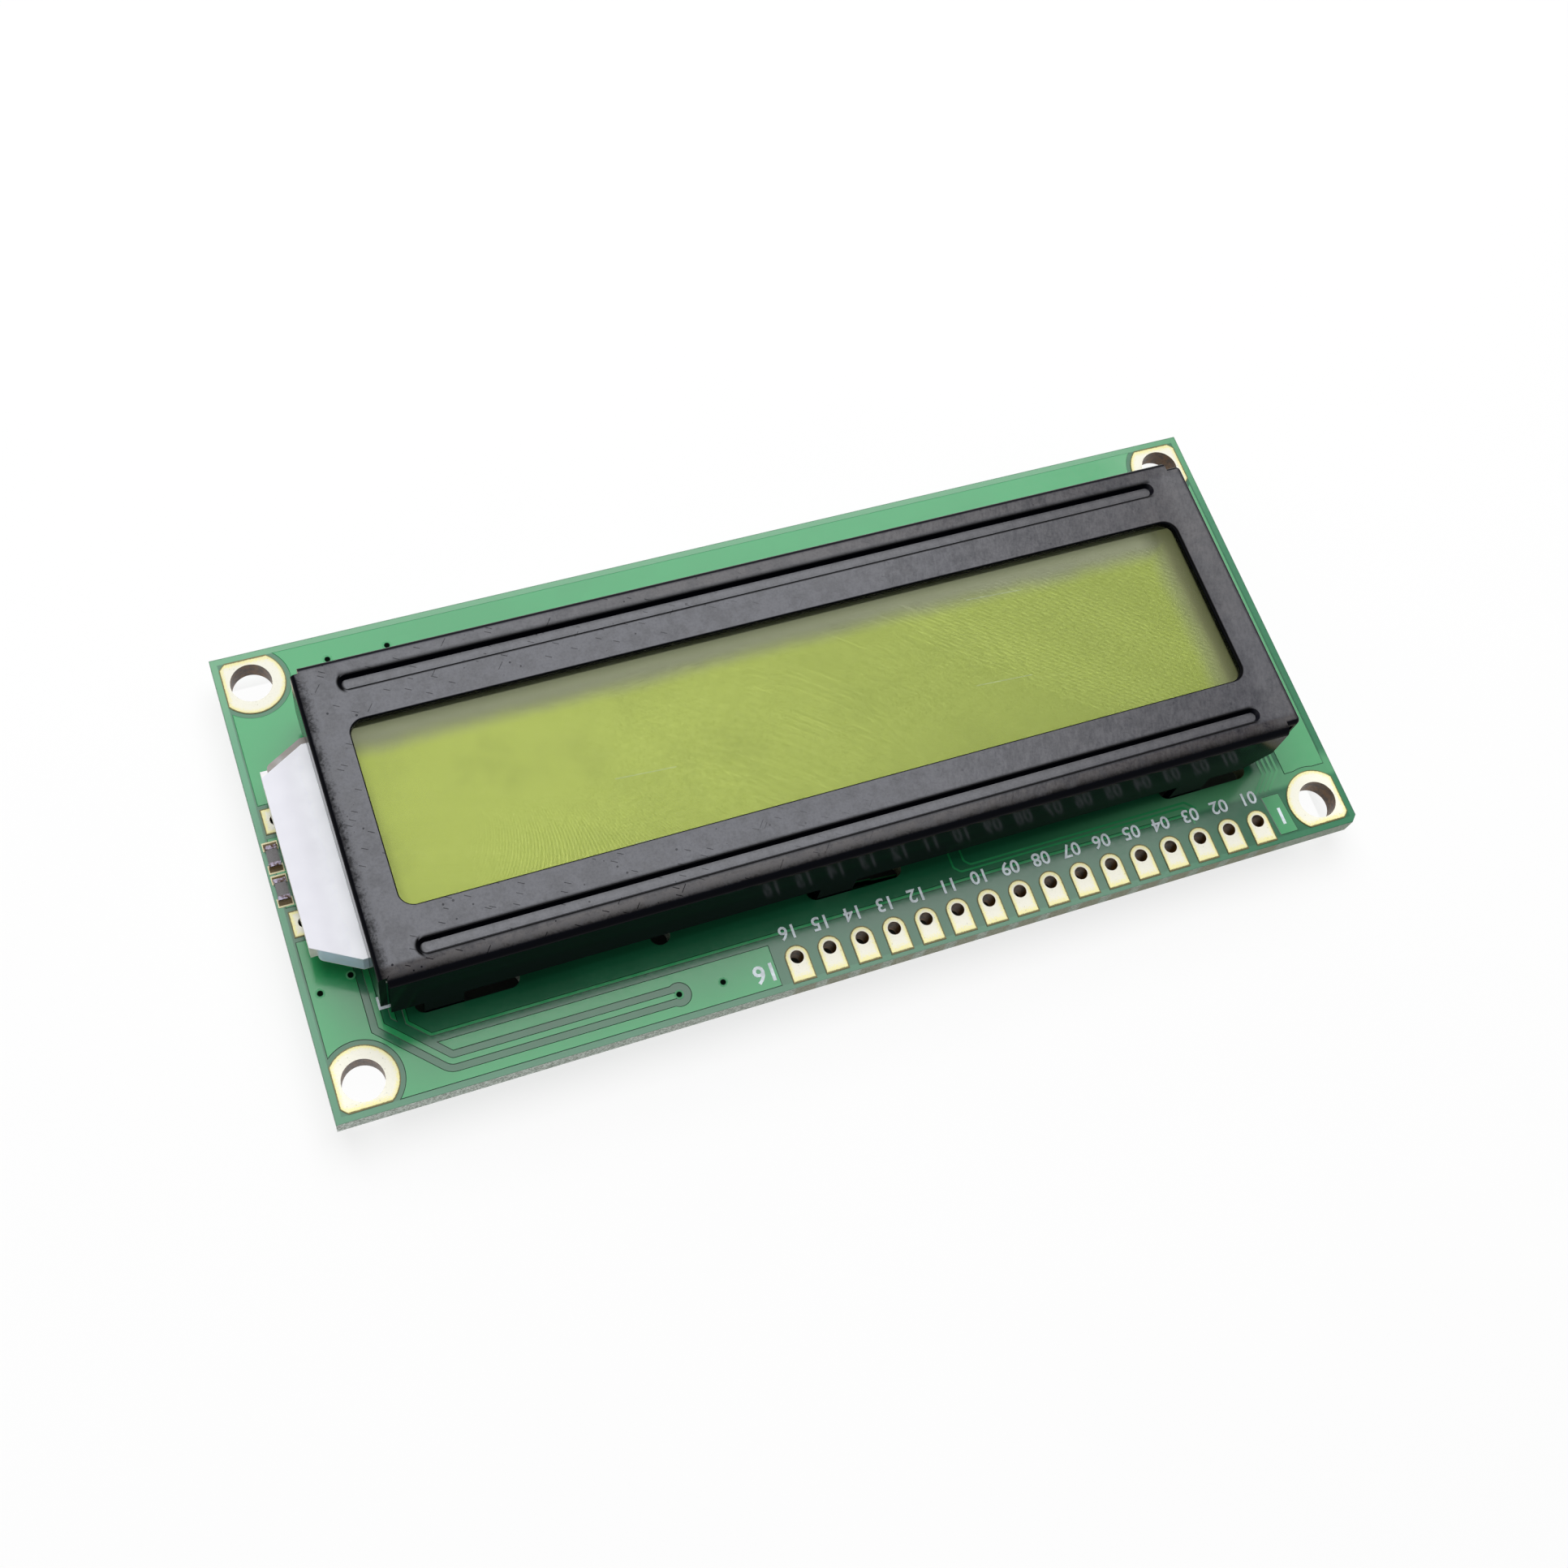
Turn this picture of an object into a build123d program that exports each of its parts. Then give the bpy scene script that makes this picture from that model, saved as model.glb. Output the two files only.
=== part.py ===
from build123d import *
import os

os.makedirs("parts", exist_ok=True)

# Character display module with sixteen columns and two rows. Lengths are in millimetres.
# X runs along the board, the pin row lies at the -Y edge with pin 1 towards +X,
# Z leaves the display face, and Z = 0 is the rear face of the circuit board.

# Circuit board
board_length = 80.0
board_width = 36.0
board_thick = 1.6
board_corner_cut = 0.5

# Plated lands
plating_wall = 0.05
land_height = 0.05
mount_inset = 2.5
mount_bore = 3.0
mount_land = 5.0
mount_land_edge = 0.5
pin_count = 16
pin_pitch = 2.54
pin_bore = 1.0
pin_row_end = 7.95
pin_row_edge = 2.2
pin_land_width = 1.8
pin_land_edge = 0.33
lead_bore = 0.8
lead_land_x = 1.8
lead_land_y = 2.0
lead_span = 8.0
lead_middle_y = 0.6

# Bezel, a folded and pressed sheet
sheet = 0.5
bezel_left_margin = 4.85
bezel_right_margin = 5.35
bezel_width = 24.16
bezel_lift = 2.1
side_bend = 0.6
end_bend = 0.4
side_wall_left = 0.58
side_wall_right = 1.25
side_corner_cut = 1.9
corner_round = 0.4
window_end_border = 2.85
window_side_border = 5.08
window_corner = 1.05
window_roll = 0.12
groove_end_border = 3.0
groove_width = 1.1
groove_floor = 0.7
groove_depth = 0.4
rib_margin = 0.1
bulge_length = 8.5
bulge_y = 0.75
bulge_depth = 0.35
bulge_slope = 0.8
end_gate_clear = 0.1

# Bezel tabs and the board's slots
tab_count = 3
tab_left_inset = 6.05
tab_right_inset = 5.55
tab_width = 2.8
tab_offset = 1.8
tab_depth = 2.2
tab_twist = 32.0
twist_start = 0.05
twist_length = 0.9
twist_steps = 3
slot_length = 7.5
slot_width = 1.5
slot_clear = 0.06
locating_bore = 1.5
locating_step = 14.1

# Liquid-crystal cell
glass_thick = 1.1
cell_gap = 0.1
polarizer_thick = 0.25
glass_side_clear = 0.68
glass_end_clear = 0.6
seal_width = 1.0
polarizer_inset = 0.3
polarizer_rib_clear = 0.4

# Rubber connector strips
strip_thick = 1.3
strip_glass_overlap = 0.25
strip_end_inset = 3.0
rear_glass_strip_clear = 1.05
strip_edge_round = 0.2

# Backlight
tray_floor = 1.8
tray_wall = 0.75
tray_skin = 0.8
tray_rib = 0.8
tray_pockets = 4
tray_strip_clear = 0.05
tray_end_clear = 0.3
guide_clear = 0.05
reflector_thick = 0.1
guide_thick = 2.0
diffuser_thick = 0.6
guide_reach = 3.05
guide_shoulder = 0.35
guide_tip_inset = 1.5
guide_tip_round = 0.5
led_count = 3
led_pitch_share = 0.3
led_length = 3.0
led_depth = 0.9
led_height = 1.4
led_pocket_clear = 0.05
led_board_thick = 0.5
led_board_inset = 0.3
tape_thick = 0.05
tape_far_inset = 0.5
tape_tuck = 0.3
lead_wire = 0.5
lead_tail = 1.1
joint_radius = 0.75
joint_tip_radius = 0.35
joint_height = 0.8

# Parts on the board
front_chip_edge = 0.7
front_chip_y = 0.56
front_chip_pitch = 2.58
small_chip_length = 1.6
small_chip_width = 0.85
small_chip_height = 0.45
large_chip_length = 2.0
large_chip_width = 1.25
large_chip_height = 0.8
chip_cap = 0.3
chip_cap_lip = 0.03
cover_radius = 7.0
cover_height = 1.7
cover_pitch = 28.0
cover_y = -0.5
rear_resistor_count = 5
rear_resistor_pitch = 2.0
rear_resistor_y = 7.5
rear_capacitor_pitch = 6.0
rear_capacitor_y = -8.0

# Heights of the stack, from the board up to the bezel's face
tray_base = board_thick
tray_top = tray_base + tray_floor
guide_base = tray_top + reflector_thick
guide_top = guide_base + guide_thick
diffuser_top = guide_top + diffuser_thick
rear_glass_base = diffuser_top + polarizer_thick
rear_glass_top = rear_glass_base + glass_thick
front_glass_base = rear_glass_top + cell_gap
front_glass_top = front_glass_base + glass_thick
stack_top = front_glass_top + polarizer_thick
bezel_top = stack_top + sheet
wall_foot = board_thick + bezel_lift

# Plan of the stack, worked inwards from the bezel's walls
bezel_left = bezel_left_margin - board_length / 2
bezel_right = board_length / 2 - bezel_right_margin
bezel_length = bezel_right - bezel_left
bezel_x = (bezel_left + bezel_right) / 2
window_length = bezel_length - 2 * window_end_border
window_width = bezel_width - 2 * window_side_border
groove_length = bezel_length - 2 * groove_end_border
wall_mid_y = bezel_width / 2 - sheet / 2
glass_width = bezel_width - 2 * sheet - 2 * glass_side_clear
glass_length = bezel_length - 2 * sheet - 2 * glass_end_clear
strip_outer_y = glass_width / 2 - strip_glass_overlap
strip_y = strip_outer_y - strip_thick / 2
strip_length = glass_length - 2 * strip_end_inset
rear_glass_width = 2 * (strip_outer_y - strip_thick - rear_glass_strip_clear)
tray_width = 2 * (strip_outer_y - strip_thick - tray_strip_clear)
tray_left = bezel_left + sheet + tray_end_clear
tray_right = bezel_right - sheet - tray_end_clear
guide_width = tray_width - 2 * tray_wall - 2 * guide_clear
guide_right = tray_right - tray_wall - guide_clear
guide_tip = bezel_left - guide_reach
guide_taper = bezel_left - guide_shoulder
guide_tip_width = guide_width - 2 * guide_tip_inset
led_pitch = led_pitch_share * guide_tip_width
led_board_x = guide_tip - led_board_thick / 2
led_board_end = guide_tip - led_board_thick
led_board_length = guide_tip_width - 2 * led_board_inset
front_polarizer_width = 2 * (strip_y - groove_width / 2 - rib_margin - polarizer_rib_clear)
slot_y = bezel_width / 2 + slot_clear - slot_width / 2
tab_pitch = (bezel_length - tab_left_inset - tab_right_inset) / (tab_count - 1)
slot_middle_x = (bezel_left + tab_left_inset + bezel_right - tab_right_inset) / 2
locating_x = bezel_left + tab_left_inset + locating_step

# Places of the holes
mount_spacing_x = board_length - 2 * mount_inset
mount_spacing_y = board_width - 2 * mount_inset
pin_row_y = pin_row_edge - board_width / 2
first_pin_x = board_length / 2 - pin_row_end
pin_row_x = first_pin_x - (pin_count - 1) * pin_pitch / 2
front_chip_x = front_chip_edge - board_length / 2
lead_places = [(led_board_x, lead_middle_y + lead_span / 2), (led_board_x, lead_middle_y - lead_span / 2)]


def plated_land(land, place, bore):
    # one piece of plated copper: a land on each face of the board and the barrel that joins them
    barrel = bore + 2 * plating_wall
    with BuildPart() as plated:
        with BuildSketch(Plane.XY.offset(-land_height)):
            add(land)
        extrude(amount=land_height)
        with BuildSketch(Plane.XY.offset(board_thick)):
            add(land)
        extrude(amount=land_height)
        with BuildSketch():
            with Locations(place):
                Circle(barrel / 2)
        extrude(amount=board_thick)
        with BuildSketch(Plane.XY.offset(-land_height)):
            with Locations(place):
                Circle(bore / 2)
        extrude(amount=board_thick + 2 * land_height, mode=Mode.SUBTRACT)
    return plated.part


def chip(place, base, rise, length, width, height):
    # ceramic chip lying along Y, its two metal caps a little proud of the body between them
    lie = Align.MIN if rise > 0 else Align.MAX
    with BuildPart() as body:
        with Locations((place[0], place[1], base)):
            Box(
                width - 2 * chip_cap_lip, length, height - chip_cap_lip,
                align=(Align.CENTER, Align.CENTER, lie),
            )
            with GridLocations(0, length - chip_cap, 1, 2):
                Box(width, chip_cap, height, align=(Align.CENTER, Align.CENTER, lie))
    return body.part


def sheet_solid(left, right, width, base, thick):
    # flat sheet or plate between two ends along X, centred on the long axis
    with BuildPart() as plate:
        with BuildSketch(Plane.XY.offset(base)):
            with Locations(((left + right) / 2, 0)):
                Rectangle(right - left, width)
        extrude(amount=thick)
    return plate.part


def save(part, name):
    part.label = name
    export_step(part, "parts/" + name + ".step")


# Circuit board with all its holes and slots
with BuildPart() as circuit_board:
    with BuildSketch() as board_plan:
        Rectangle(board_length, board_width)
        cut_corner = board_plan.vertices().group_by(Axis.X)[-1].sort_by(Axis.Y)[0]
        chamfer(cut_corner, length=board_corner_cut)
        with GridLocations(mount_spacing_x, mount_spacing_y, 2, 2):
            Circle(mount_bore / 2 + plating_wall, mode=Mode.SUBTRACT)
        with Locations((pin_row_x, pin_row_y)):
            with GridLocations(pin_pitch, 0, pin_count, 1):
                Circle(pin_bore / 2 + plating_wall, mode=Mode.SUBTRACT)
        with Locations(*lead_places):
            Circle(lead_bore / 2 + plating_wall, mode=Mode.SUBTRACT)
        with Locations((slot_middle_x, 0)):
            with GridLocations(tab_pitch, 2 * slot_y, tab_count, 2):
                SlotOverall(slot_length, slot_width, mode=Mode.SUBTRACT)
        with Locations((locating_x, -slot_y), (locating_x, slot_y)):
            Circle(locating_bore / 2, mode=Mode.SUBTRACT)
    extrude(amount=board_thick)

save(circuit_board.part, "circuit_board")

# Mounting lands: round, with a flat where they would come too near the board's edges
land_limit_x = board_length - 2 * mount_land_edge
land_limit_y = board_width - 2 * mount_land_edge
mount_places = [(x * mount_spacing_x / 2, y * mount_spacing_y / 2) for y in (1, -1) for x in (-1, 1)]

for number, place in enumerate(mount_places, start=1):
    with BuildSketch() as land:
        with Locations(place):
            Circle(mount_land / 2)
        Rectangle(land_limit_x, land_limit_y, mode=Mode.INTERSECT)
    save(plated_land(land.sketch, place, mount_bore), f"mounting_pad_{number}")

# Pin lands: round towards the display and square towards the board's edge
pin_land_reach = pin_row_edge - pin_land_edge

for number in range(1, pin_count + 1):
    place = (first_pin_x - (number - 1) * pin_pitch, pin_row_y)
    with BuildSketch() as land:
        with Locations(place):
            Circle(pin_land_width / 2)
            Rectangle(pin_land_width, pin_land_reach, align=(Align.CENTER, Align.MAX))
    save(plated_land(land.sketch, place, pin_bore), f"pin_pad_{number}")

# Lands of the backlight's two leads
for name, place in zip(("far", "near"), lead_places):
    with BuildSketch() as land:
        with Locations(place):
            Rectangle(lead_land_x, lead_land_y)
    save(plated_land(land.sketch, place, lead_bore), f"lead_pad_{name}")

# A tab of the bezel: straight through the board's slot, then twisted below it to hold the board
with BuildPart() as tab:
    with BuildSketch(Plane.XY.offset(-twist_start)):
        Rectangle(tab_width, sheet)
    extrude(amount=wall_foot + twist_start)
    for step in range(twist_steps + 1):
        with BuildSketch(Plane.XY.offset(-twist_start - step * twist_length / twist_steps)):
            with Locations(Rotation(0, 0, step * tab_twist / twist_steps)):
                Rectangle(tab_width, sheet)
    loft(ruled=True)
    with BuildSketch(Plane.XY.offset(-twist_start - twist_length)):
        with Locations(Rotation(0, 0, tab_twist)):
            Rectangle(tab_width, sheet)
    extrude(amount=-(tab_depth - twist_start - twist_length))

# The bezel: one sheet, folded down on four sides and pressed
with BuildPart() as bezel:
    # long sides, one fold profile drawn along the bezel
    with BuildSketch(Plane.YZ.offset(bezel_left + side_wall_left)):
        with BuildLine():
            FilletPolyline(
                (-bezel_width / 2, wall_foot),
                (-bezel_width / 2, bezel_top),
                (bezel_width / 2, bezel_top),
                (bezel_width / 2, wall_foot),
                radius=side_bend,
            )
            offset(amount=sheet, side=Side.RIGHT)
        make_face()
    extrude(amount=bezel_length - side_wall_left - side_wall_right)
    foot_corners = bezel.edges().filter_by(Axis.Y).group_by(Axis.X)[-1].group_by(Axis.Z)[0]
    chamfer(foot_corners, length=side_corner_cut)
    # end walls, a second fold profile across the flat between the side bends
    with BuildSketch(Plane.XZ):
        with BuildLine():
            FilletPolyline(
                (bezel_left, wall_foot),
                (bezel_left, bezel_top),
                (bezel_right, bezel_top),
                (bezel_right, wall_foot),
                radius=end_bend,
            )
            offset(amount=sheet, side=Side.RIGHT)
        make_face()
    extrude(amount=bezel_width / 2 - side_bend, both=True)
    fillet(bezel.edges().filter_by(Axis.Z).group_by(Axis.X)[-1], radius=corner_round)
    # shallow pressed bulge in the right end wall
    for face_x, way in ((bezel_right, Mode.ADD), (bezel_right - sheet, Mode.SUBTRACT)):
        with BuildSketch(Plane.XY.offset(wall_foot)):
            with BuildLine():
                Polyline(
                    (face_x, bulge_y - bulge_length / 2),
                    (face_x + bulge_depth, bulge_y - bulge_length / 2 + bulge_slope),
                    (face_x + bulge_depth, bulge_y + bulge_length / 2 - bulge_slope),
                    (face_x, bulge_y + bulge_length / 2),
                    close=True,
                )
            make_face()
        extrude(amount=bezel_top - wall_foot - end_bend - sheet, mode=way)
    # gate in the left end wall that lets the backlight's end out
    with BuildSketch(Plane.YZ.offset(bezel_left)):
        with Locations((0, wall_foot)):
            Rectangle(
                guide_width + 2 * end_gate_clear,
                guide_top + tape_thick + end_gate_clear - wall_foot,
                align=(Align.CENTER, Align.MIN),
            )
    extrude(amount=sheet, mode=Mode.SUBTRACT)
    # pressed grooves over the connector strips, and the ribs that they raise below
    for side in (-1, 1):
        with BuildSketch(Plane.XY.offset(stack_top - polarizer_thick)):
            with Locations((bezel_x, side * strip_y)):
                SlotOverall(groove_length + 2 * rib_margin, groove_width + 2 * rib_margin)
        extrude(amount=polarizer_thick)
        with BuildSketch(Plane.XY.offset(bezel_top)):
            with Locations((bezel_x, side * strip_y)):
                SlotOverall(groove_length, groove_width)
        with BuildSketch(Plane.XY.offset(bezel_top - groove_depth)):
            with Locations((bezel_x, side * strip_y)):
                SlotOverall(groove_length - groove_width + groove_floor, groove_floor)
        loft(mode=Mode.SUBTRACT)
    # window with a softly rolled edge
    with BuildSketch(Plane.XY.offset(stack_top)):
        with Locations((bezel_x, 0)):
            RectangleRounded(window_length, window_width, window_corner)
    extrude(amount=sheet, mode=Mode.SUBTRACT)
    window_edges = bezel.edges(Select.LAST).group_by(Axis.Z)[-1]
    fillet(window_edges, radius=window_roll)
    # tabs that hold the bezel on the board
    with Locations((slot_middle_x - tab_offset, 0)):
        with GridLocations(tab_pitch, 2 * wall_mid_y, tab_count, 2):
            add(tab.part)

save(bezel.part, "bezel")

# Liquid-crystal cell between its two polarizers
glass_left = bezel_x - glass_length / 2
glass_right = bezel_x + glass_length / 2
polarizer_left = glass_left + polarizer_inset
polarizer_right = glass_right - polarizer_inset
cell_length = glass_length - 2 * seal_width
cell_width = rear_glass_width - 2 * seal_width

front_polarizer = sheet_solid(
    polarizer_left, polarizer_right, front_polarizer_width, front_glass_top, polarizer_thick
)
save(front_polarizer, "front_polarizer")
save(sheet_solid(glass_left, glass_right, glass_width, front_glass_base, glass_thick), "front_glass")
save(sheet_solid(glass_left, glass_right, rear_glass_width, rear_glass_base, glass_thick), "rear_glass")

rear_polarizer = sheet_solid(
    max(polarizer_left, tray_left), min(polarizer_right, guide_right),
    rear_glass_width - 2 * polarizer_inset, diffuser_top, polarizer_thick,
)
save(rear_polarizer, "rear_polarizer")

with BuildPart() as cell_seal:
    with BuildSketch(Plane.XY.offset(rear_glass_top)):
        with Locations((bezel_x, 0)):
            Rectangle(glass_length, rear_glass_width)
            Rectangle(cell_length, cell_width, mode=Mode.SUBTRACT)
    extrude(amount=cell_gap)

save(cell_seal.part, "cell_seal")

with BuildPart() as liquid_crystal:
    with BuildSketch(Plane.XY.offset(rear_glass_top)):
        with Locations((bezel_x, 0)):
            Rectangle(cell_length, cell_width)
    extrude(amount=cell_gap)

save(liquid_crystal.part, "liquid_crystal")

# Rubber connector strips that stand on the board and carry the front glass
for name, side in (("far", 1), ("near", -1)):
    with BuildPart() as strip:
        with Locations((bezel_x, side * strip_y, board_thick)):
            Box(
                strip_length, strip_thick, front_glass_base - board_thick,
                align=(Align.CENTER, Align.CENTER, Align.MIN),
            )
        fillet(strip.edges().filter_by(Axis.Z), radius=strip_edge_round)
    save(strip.part, f"rubber_connector_{name}")

# Backlight tray: floor on the board, hollowed below between ribs, with rails and a right end wall
pocket_span = (tray_right - tray_left - tray_rib) / tray_pockets
pocket_length = pocket_span - tray_rib
pocket_width = (tray_width - 3 * tray_rib) / 2

with BuildPart() as backlight_tray:
    with BuildSketch(Plane.XY.offset(tray_base)):
        with Locations(((tray_left + tray_right) / 2, 0)):
            Rectangle(tray_right - tray_left, tray_width)
    extrude(amount=diffuser_top - tray_base)
    with BuildSketch(Plane.XY.offset(tray_top)):
        with Locations((tray_left, 0)):
            Rectangle(
                tray_right - tray_wall - tray_left,
                tray_width - 2 * tray_wall,
                align=(Align.MIN, Align.CENTER),
            )
    extrude(amount=diffuser_top - tray_top, mode=Mode.SUBTRACT)
    with BuildSketch(Plane.XY.offset(tray_base)):
        with Locations(((tray_left + tray_right) / 2, 0)):
            with GridLocations(pocket_span, pocket_width + tray_rib, tray_pockets, 2):
                Rectangle(pocket_length, pocket_width)
    extrude(amount=tray_floor - tray_skin, mode=Mode.SUBTRACT)

save(backlight_tray.part, "backlight_tray")

# Plan of the light guide: straight under the display, tapered where it leaves the bezel
with BuildSketch() as guide_plan:
    with BuildLine():
        Polyline(
            (guide_right, -guide_width / 2),
            (guide_right, guide_width / 2),
            (guide_taper, guide_width / 2),
            (guide_tip, guide_tip_width / 2),
            (guide_tip, -guide_tip_width / 2),
            (guide_taper, -guide_width / 2),
            close=True,
        )
    make_face()
    fillet(guide_plan.vertices().group_by(Axis.X)[0], radius=guide_tip_round)

with BuildPart() as reflector:
    with BuildSketch(Plane.XY.offset(tray_top)):
        add(guide_plan.sketch)
    extrude(amount=reflector_thick)

save(reflector.part, "reflector_film")

led_mid_z = guide_base + guide_thick / 2

with BuildPart() as light_guide:
    with BuildSketch(Plane.XY.offset(guide_base)):
        add(guide_plan.sketch)
        with Locations((guide_tip, 0)):
            with GridLocations(0, led_pitch, 1, led_count):
                Rectangle(
                    led_depth + led_pocket_clear,
                    led_length + 2 * led_pocket_clear,
                    align=(Align.MIN, Align.CENTER),
                    mode=Mode.SUBTRACT,
                )
    extrude(amount=guide_thick)

save(light_guide.part, "light_guide")
save(sheet_solid(tray_left, guide_right, guide_width, guide_top, diffuser_thick), "diffuser_sheet")

# LED strip on the guide's tip, its chips in the guide's pockets, its leads down to the board
with BuildPart() as led_board:
    with Locations((led_board_x, 0, guide_base)):
        Box(
            led_board_thick, led_board_length, guide_thick,
            align=(Align.CENTER, Align.CENTER, Align.MIN),
        )

save(led_board.part, "led_strip_board")

for number in range(1, led_count + 1):
    led_y = (number - (led_count + 1) / 2) * led_pitch
    with BuildPart() as led:
        with Locations((guide_tip, led_y, led_mid_z)):
            Box(led_depth, led_length, led_height, align=(Align.MIN, Align.CENTER, Align.CENTER))
    save(led.part, f"led_chip_{number}")

for name, place in zip(("far", "near"), lead_places):
    with BuildPart() as lead:
        with Locations((place[0], place[1], -lead_tail)):
            Cylinder(lead_wire / 2, guide_base + lead_tail, align=(Align.CENTER, Align.CENTER, Align.MIN))
    save(lead.part, f"backlight_lead_{name}")
    with BuildPart() as joint:
        with Locations((place[0], place[1], -land_height)):
            Cone(joint_tip_radius, joint_radius, joint_height, align=(Align.CENTER, Align.CENTER, Align.MAX))
            Cylinder(
                lead_wire / 2, joint_height,
                align=(Align.CENTER, Align.CENTER, Align.MAX), mode=Mode.SUBTRACT,
            )
    save(joint.part, f"solder_joint_{name}")

# White tape over the guide's end and the strip's top edge, laid a little towards the near side
tape_tip_y = led_board_length / 2

with BuildPart() as end_tape:
    with BuildSketch(Plane.XY.offset(guide_top)):
        with BuildLine():
            Polyline(
                (bezel_left + tape_tuck, -guide_width / 2),
                (bezel_left + tape_tuck, guide_width / 2 - tape_far_inset),
                (guide_taper, guide_width / 2 - tape_far_inset),
                (led_board_end, tape_tip_y - tape_far_inset),
                (led_board_end, -tape_tip_y),
                (guide_taper, -guide_width / 2),
                close=True,
            )
        make_face()
    extrude(amount=tape_thick)

save(end_tape.part, "end_tape")

# Chip resistors beside the backlight's end
for number, side in ((1, 1), (2, -1)):
    place = (front_chip_x, front_chip_y + side * front_chip_pitch / 2)
    front_chip = chip(place, board_thick, 1, small_chip_length, small_chip_width, small_chip_height)
    save(front_chip, f"front_resistor_{number}")

# Rear face: two epoxy covers over the controllers, resistors and capacitors between them
for name, side in (("left", -1), ("right", 1)):
    with BuildPart() as cover:
        with BuildSketch(Plane.XZ):
            with BuildLine():
                TangentArc((0, -cover_height), (cover_radius, 0), tangent=(1, 0))
                Polyline((0, -cover_height), (0, 0), (cover_radius, 0))
            make_face()
        revolve(axis=Axis.Z)
    cover_place = Location((side * cover_pitch / 2, cover_y, 0))
    save(cover.part.moved(cover_place), f"controller_cover_{name}")

for number in range(1, rear_resistor_count + 1):
    place = ((number - (rear_resistor_count + 1) / 2) * rear_resistor_pitch, rear_resistor_y)
    rear_chip = chip(place, 0, -1, small_chip_length, small_chip_width, small_chip_height)
    save(rear_chip, f"rear_resistor_{number}")

for number, side in ((1, -1), (2, 1)):
    place = (side * rear_capacitor_pitch / 2, rear_capacitor_y)
    rear_chip = chip(place, 0, -1, large_chip_length, large_chip_width, large_chip_height)
    save(rear_chip, f"rear_capacitor_{number}")
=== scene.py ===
"""Looks of the character display module: finishes, copper, print, solder and a plain studio."""

import math
from functools import reduce

import bpy
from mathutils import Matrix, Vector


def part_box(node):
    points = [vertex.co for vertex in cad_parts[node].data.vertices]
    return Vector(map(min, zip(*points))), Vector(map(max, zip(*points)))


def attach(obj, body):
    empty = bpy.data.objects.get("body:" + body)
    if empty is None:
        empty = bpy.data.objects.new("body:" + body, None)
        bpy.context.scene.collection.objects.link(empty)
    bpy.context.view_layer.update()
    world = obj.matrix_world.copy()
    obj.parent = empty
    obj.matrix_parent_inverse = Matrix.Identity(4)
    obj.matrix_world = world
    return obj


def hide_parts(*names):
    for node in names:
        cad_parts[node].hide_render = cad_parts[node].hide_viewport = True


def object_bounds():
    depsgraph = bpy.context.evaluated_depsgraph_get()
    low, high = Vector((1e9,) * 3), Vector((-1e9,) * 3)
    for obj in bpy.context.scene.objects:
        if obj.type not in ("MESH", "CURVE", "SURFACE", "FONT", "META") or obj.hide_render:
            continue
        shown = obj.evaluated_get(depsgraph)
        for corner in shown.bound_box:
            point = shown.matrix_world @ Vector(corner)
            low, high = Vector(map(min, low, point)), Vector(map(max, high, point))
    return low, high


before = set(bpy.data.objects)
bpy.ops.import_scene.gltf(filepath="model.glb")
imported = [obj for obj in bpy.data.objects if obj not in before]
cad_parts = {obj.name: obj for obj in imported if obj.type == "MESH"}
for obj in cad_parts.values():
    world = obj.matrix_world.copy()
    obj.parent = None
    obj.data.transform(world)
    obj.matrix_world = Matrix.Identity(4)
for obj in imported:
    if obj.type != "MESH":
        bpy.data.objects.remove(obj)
CAD_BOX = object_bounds()

bl_info = {
    "name": "Character display module",
    "version": (1, 0, 0),
    "blender": (4, 5, 0),
    "location": "View3D > Sidebar > Display module",
    "description": "Dresses the packed display module with finishes, copper, print and a studio",
    "category": "Object",
}

# New pieces are drawn in millimetres in the frame's axes, and settle() brings them to metres.
MM = 0.001


def edges_mm(name):
    """Lowest and highest corner of a CAD node, in millimetres."""
    low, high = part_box(name)
    return [value / MM for value in low], [value / MM for value in high]


def middle_mm(name):
    """Middle of a CAD node's box, in millimetres."""
    low, high = edges_mm(name)
    return [(a + b) / 2 for a, b in zip(low, high)]


BOARD_LOW, BOARD_HIGH = edges_mm("circuit_board")
BEZEL_LOW, BEZEL_HIGH = edges_mm("bezel")
STACK_LOW = edges_mm("rubber_connector_near")[0]
TRAY_LOW, TRAY_HIGH = edges_mm("backlight_tray")
BOARD_TOP = BOARD_HIGH[2]

# Pins and mounting holes, in millimetres.
PIN_COUNT = 16
PIN_1 = middle_mm("pin_pad_1")
PIN_16 = middle_mm("pin_pad_16")
PIN_PITCH = (PIN_1[0] - PIN_16[0]) / (PIN_COUNT - 1)
PIN_ROW_HALF = 20.2
PIN_HOLE_Y = -15.8
PIN_LAND_HALF = 0.9
PIN_LAND_END = 1.87
MOUNT_X = 37.5
MOUNT_Y = 15.5
MOUNT_RADIUS = 2.5
MOUNT_FLAT = 2.0

# Bezel: window, pressed grooves, and the slots and locating holes in the board.
WINDOW_MIDDLE = ((BEZEL_LOW[0] + BEZEL_HIGH[0]) / 2, 0.0)
WINDOW_HALF = (32.05, 7.0)
WINDOW_CORNER = 1.05
GROOVE_Y = 10.0
GROOVE_HALF = 31.9
GROOVE_RADIUS = 0.55
SLOT_PITCH = 29.1
SLOT_Y = 11.39
SLOT_BARE_HALF = 3.95
SLOT_BARE_WIDTH = 2.0
LOCATING_X = -15.0
LOCATING_BARE_RADIUS = 1.0

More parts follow.
